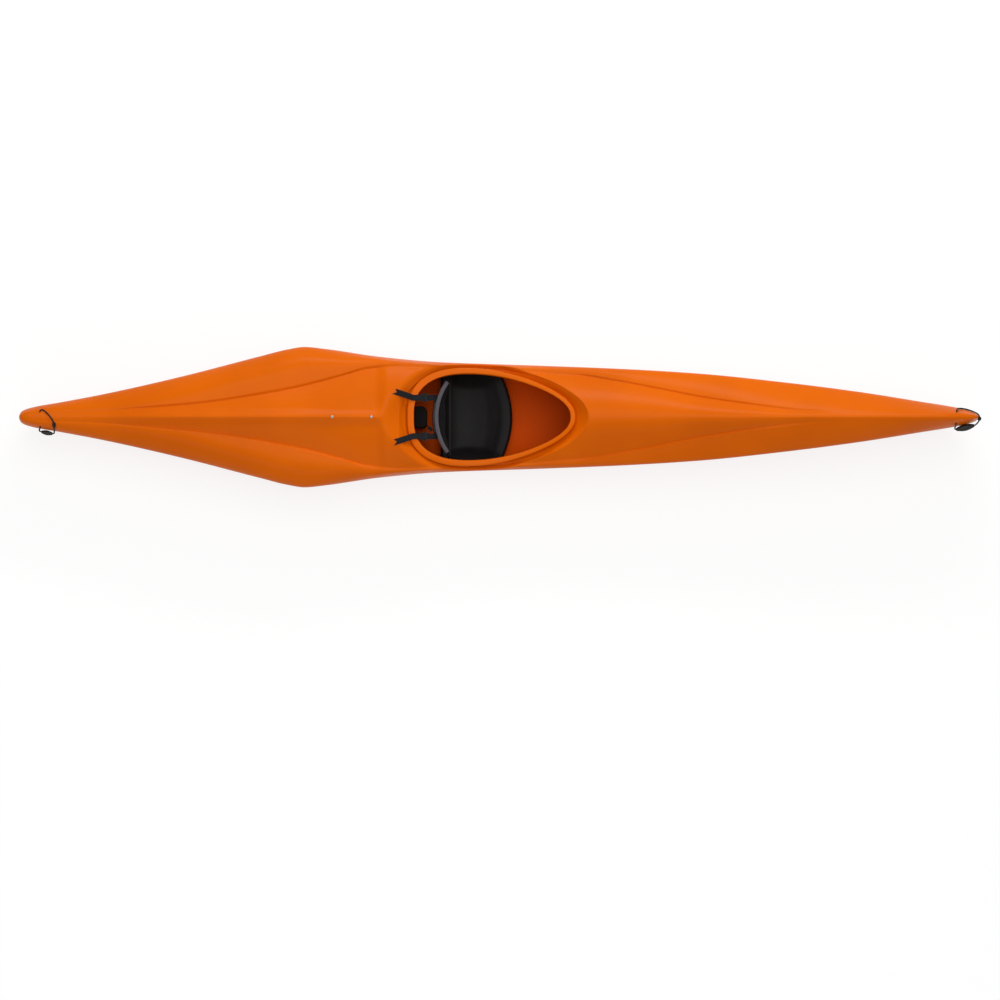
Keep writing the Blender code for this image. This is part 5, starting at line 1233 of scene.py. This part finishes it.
STERN_LOOP = route(
    -19572, 140, 3000, -19573, 180, 3070, -19570, 227, 3118, -19552, 280, 3120, -19503, 322, 3090,
    -19443, 316, 3097, -19392, 291, 3115, -19311, 220, 3146, -19231, 142, 3166, -19156, 55, 3186,
    -19081, -42, 3192, -19031, -120, 3184, -18990, -193, 3170, -18964, -275, 3150, -18955, -355, 3120,
    -18955, -435, 3060, -18960, -515, 2975, -18966, -590, 2870, -18976, -655, 2760, -18998, -700, 2665,
    -19040, -715, 2625, -19105, -705, 2620, -19170, -692, 2620, -19235, -680, 2620, -19300, -667, 2620,
    -19365, -655, 2620, -19430, -642, 2620, -19495, -630, 2620, -19560, -616, 2624, -19603, -602, 2655,
    -19622, -580, 2710, -19620, -552, 2770, -19600, -520, 2825, -19575, -480, 2862, -19565, -430, 2880,
    -19562, -360, 2880, -19562, -280, 2880)
BOW_GRIP = ((2.024, -0.036, 0.322), (1.946, -0.054, 0.331))
BOW_KNOT = ((2.044, -0.008, 0.3465), (-0.2285, -0.9013, -0.3681), 3.15, 0.0115)
STERN_GRIP = ((-1.907, -0.0712, 0.262), (-1.953, -0.0623, 0.262))
STERN_KNOT = ((-1.8957, -0.034, 0.3127), (0.03, -0.9, -0.43), 4.15, 0.0175)
ROPE_RADIUS = 0.003
HOSE_LIP = 0.0016
HOSE_END = 0.0055


def barrel_knot(name, centre, axis, turns, length):
    """A barrel knot: wraps of the rope round itself, with melted ends."""
    axis = unit(array(axis))
    side, other = two_sides(axis, UP)
    t = shares(int(35 * turns))
    turn = (TURN * turns * t)[:, None]
    reach = 0.0047 + 0.0004 * sin(turn * 0.5) ** 2
    wraps = (array(centre) + np.outer((t - 0.5) * length, axis)
             + reach * (cos(turn) * side + sin(turn) * other))
    return tube(name, wraps, 0.0027, 12)


def build_loop(word, route, grip, knot, girth):
    """The rope from one mouth of its tunnel to the other, its barrel knot and its hose grip."""
    path = smooth_path(route, 0.0022)
    for _ in range(12):
        path[1:-1] = 0.5 * path[1:-1] + 0.25 * (path[:-2] + path[2:])
    rope = tube(word + "_loop_rope", path, ROPE_RADIUS)
    wraps = barrel_knot(word + "_loop_knot", *knot)
    placed(rope, "hull", "rope_black", word + "_rope")
    placed(wraps, "hull", "rope_black", word + "_knot")
    start, end = (array(p) for p in grip)
    half = float(np.linalg.norm(end - start)) / 2
    t = linspace(0, pi / 2, 5)
    outer = [(0.0036, -half + 0.0004), (0.0041, -half)]
    outer += zip(0.0064 - HOSE_LIP + HOSE_LIP * sin(t), -half + HOSE_LIP - HOSE_LIP * cos(t))
    along = linspace(-0.94, 0.94, 33)
    barrel = HOSE_END + (girth - HOSE_END) * cos(along * pi / 2) ** 0.9
    barrel = barrel - 0.0004 * (cos(along * 44.0) > 0.6) * (np.abs(along) < 0.72)
    profile = outer + list(zip(barrel, along * half)) + [(r, -h) for r, h in outer[::-1]]
    sleeve = turned(word + "_loop_grip", profile, (start + end) / 2, end - start, loop=True,
                    angle=40)
    placed(sleeve, word + "_sleeve", "grip_black", word + "_grip")
    declared(rope, path, 2 * ROPE_RADIUS, "object", wraps, sleeve)


build_loop("bow", BOW_LOOP, BOW_GRIP, BOW_KNOT, 0.0145)
build_loop("stern", STERN_LOOP, STERN_GRIP, STERN_KNOT, 0.0105)


# Floor, light and camera

PHOTO_SCALE = 0.004266


def looked_at(f):
    """One where the camera, a reflection or a clear piece looks, and zero for other light."""
    rays = [f.node("LightPath", {}, {}, "Is %s Ray" % word)
            for word in ("Camera", "Glossy", "Transmission")]
    return f.clamped(rays[0] + rays[1] + rays[2])


def build_stage():
    """A plain pale floor and world that show white behind the object and keep its shadow."""
    corners = [[[x, y, -0.0004] for y in (-90.0, 90.0)] for x in (-90.0, 90.0)]
    floor = surface("floor", array(corners))
    if floor.data.polygons[0].normal.z < 0:
        floor.data.flip_normals()
    f = Finish("pale_floor")
    shown = looked_at(f)
    f.put(f.shader.inputs, {
        "Base Color": f.mix(shown, (0.8, 0.8, 0.8), (0.24, 0.24, 0.24)), "Roughness": 0.9,
        "Specular IOR Level": 0.0, "Emission Strength": 1.0,
        "Emission Color": f.mix(shown, (0.0, 0.0, 0.0), (0.8, 0.8, 0.8))})
    floor.data.materials.append(f.owner)
    sky = Finish("studio", "worlds", "Background")
    bpy.context.scene.world = sky.owner
    strength = sky.node("MapRange", {}, {"Value": looked_at(sky), "To Min": 0.36, "To Max": 1.0})
    sky.put(sky.shader.inputs, {"Color": (1.0, 1.0, 1.0, 1.0), "Strength": strength})


def softbox(name, place, target, width, height, power):
    data = bpy.data.lights.new(name, "AREA")
    data.shape = "RECTANGLE"
    data.size = width
    data.size_y = height
    data.energy = power
    item = new_object(name, data)
    item.location = place
    item.rotation_euler = (Vector(target) - Vector(place)).to_track_quat("-Z", "Y").to_euler()


def build_camera():
    """Straight above the kayak, with the long lens of a plan view, framed as the photograph."""
    data = bpy.data.cameras.new("plan_camera")
    data.lens = 200.0
    data.sensor_width = 36.0
    data.clip_start = 0.5
    data.clip_end = 400.0
    distance = PHOTO_SCALE * 1000 * data.lens / data.sensor_width
    item = new_object("plan_camera", data)
    item.location = (PHOTO_SCALE, -82.9 * PHOTO_SCALE, 0.28 + distance)
    bpy.context.scene.camera = item


build_stage()
softbox("key_port", (0.7, 4.2, 2.5), (0.1, 0.0, 0.2), 4.6, 0.6, 97.0)
softbox("fill_starboard", (-1.2, -3.8, 3.4), (0.0, 0.0, 0.15), 4.0, 1.6, 19.0)
overhead = bpy.data.lights.new("overhead", "SUN")
overhead.energy = 1.1
overhead.angle = radians(50)
new_object("overhead", overhead).rotation_euler = (radians(-12), radians(6), 0.0)
build_camera()
bpy.context.scene.view_settings.view_transform = "Standard"
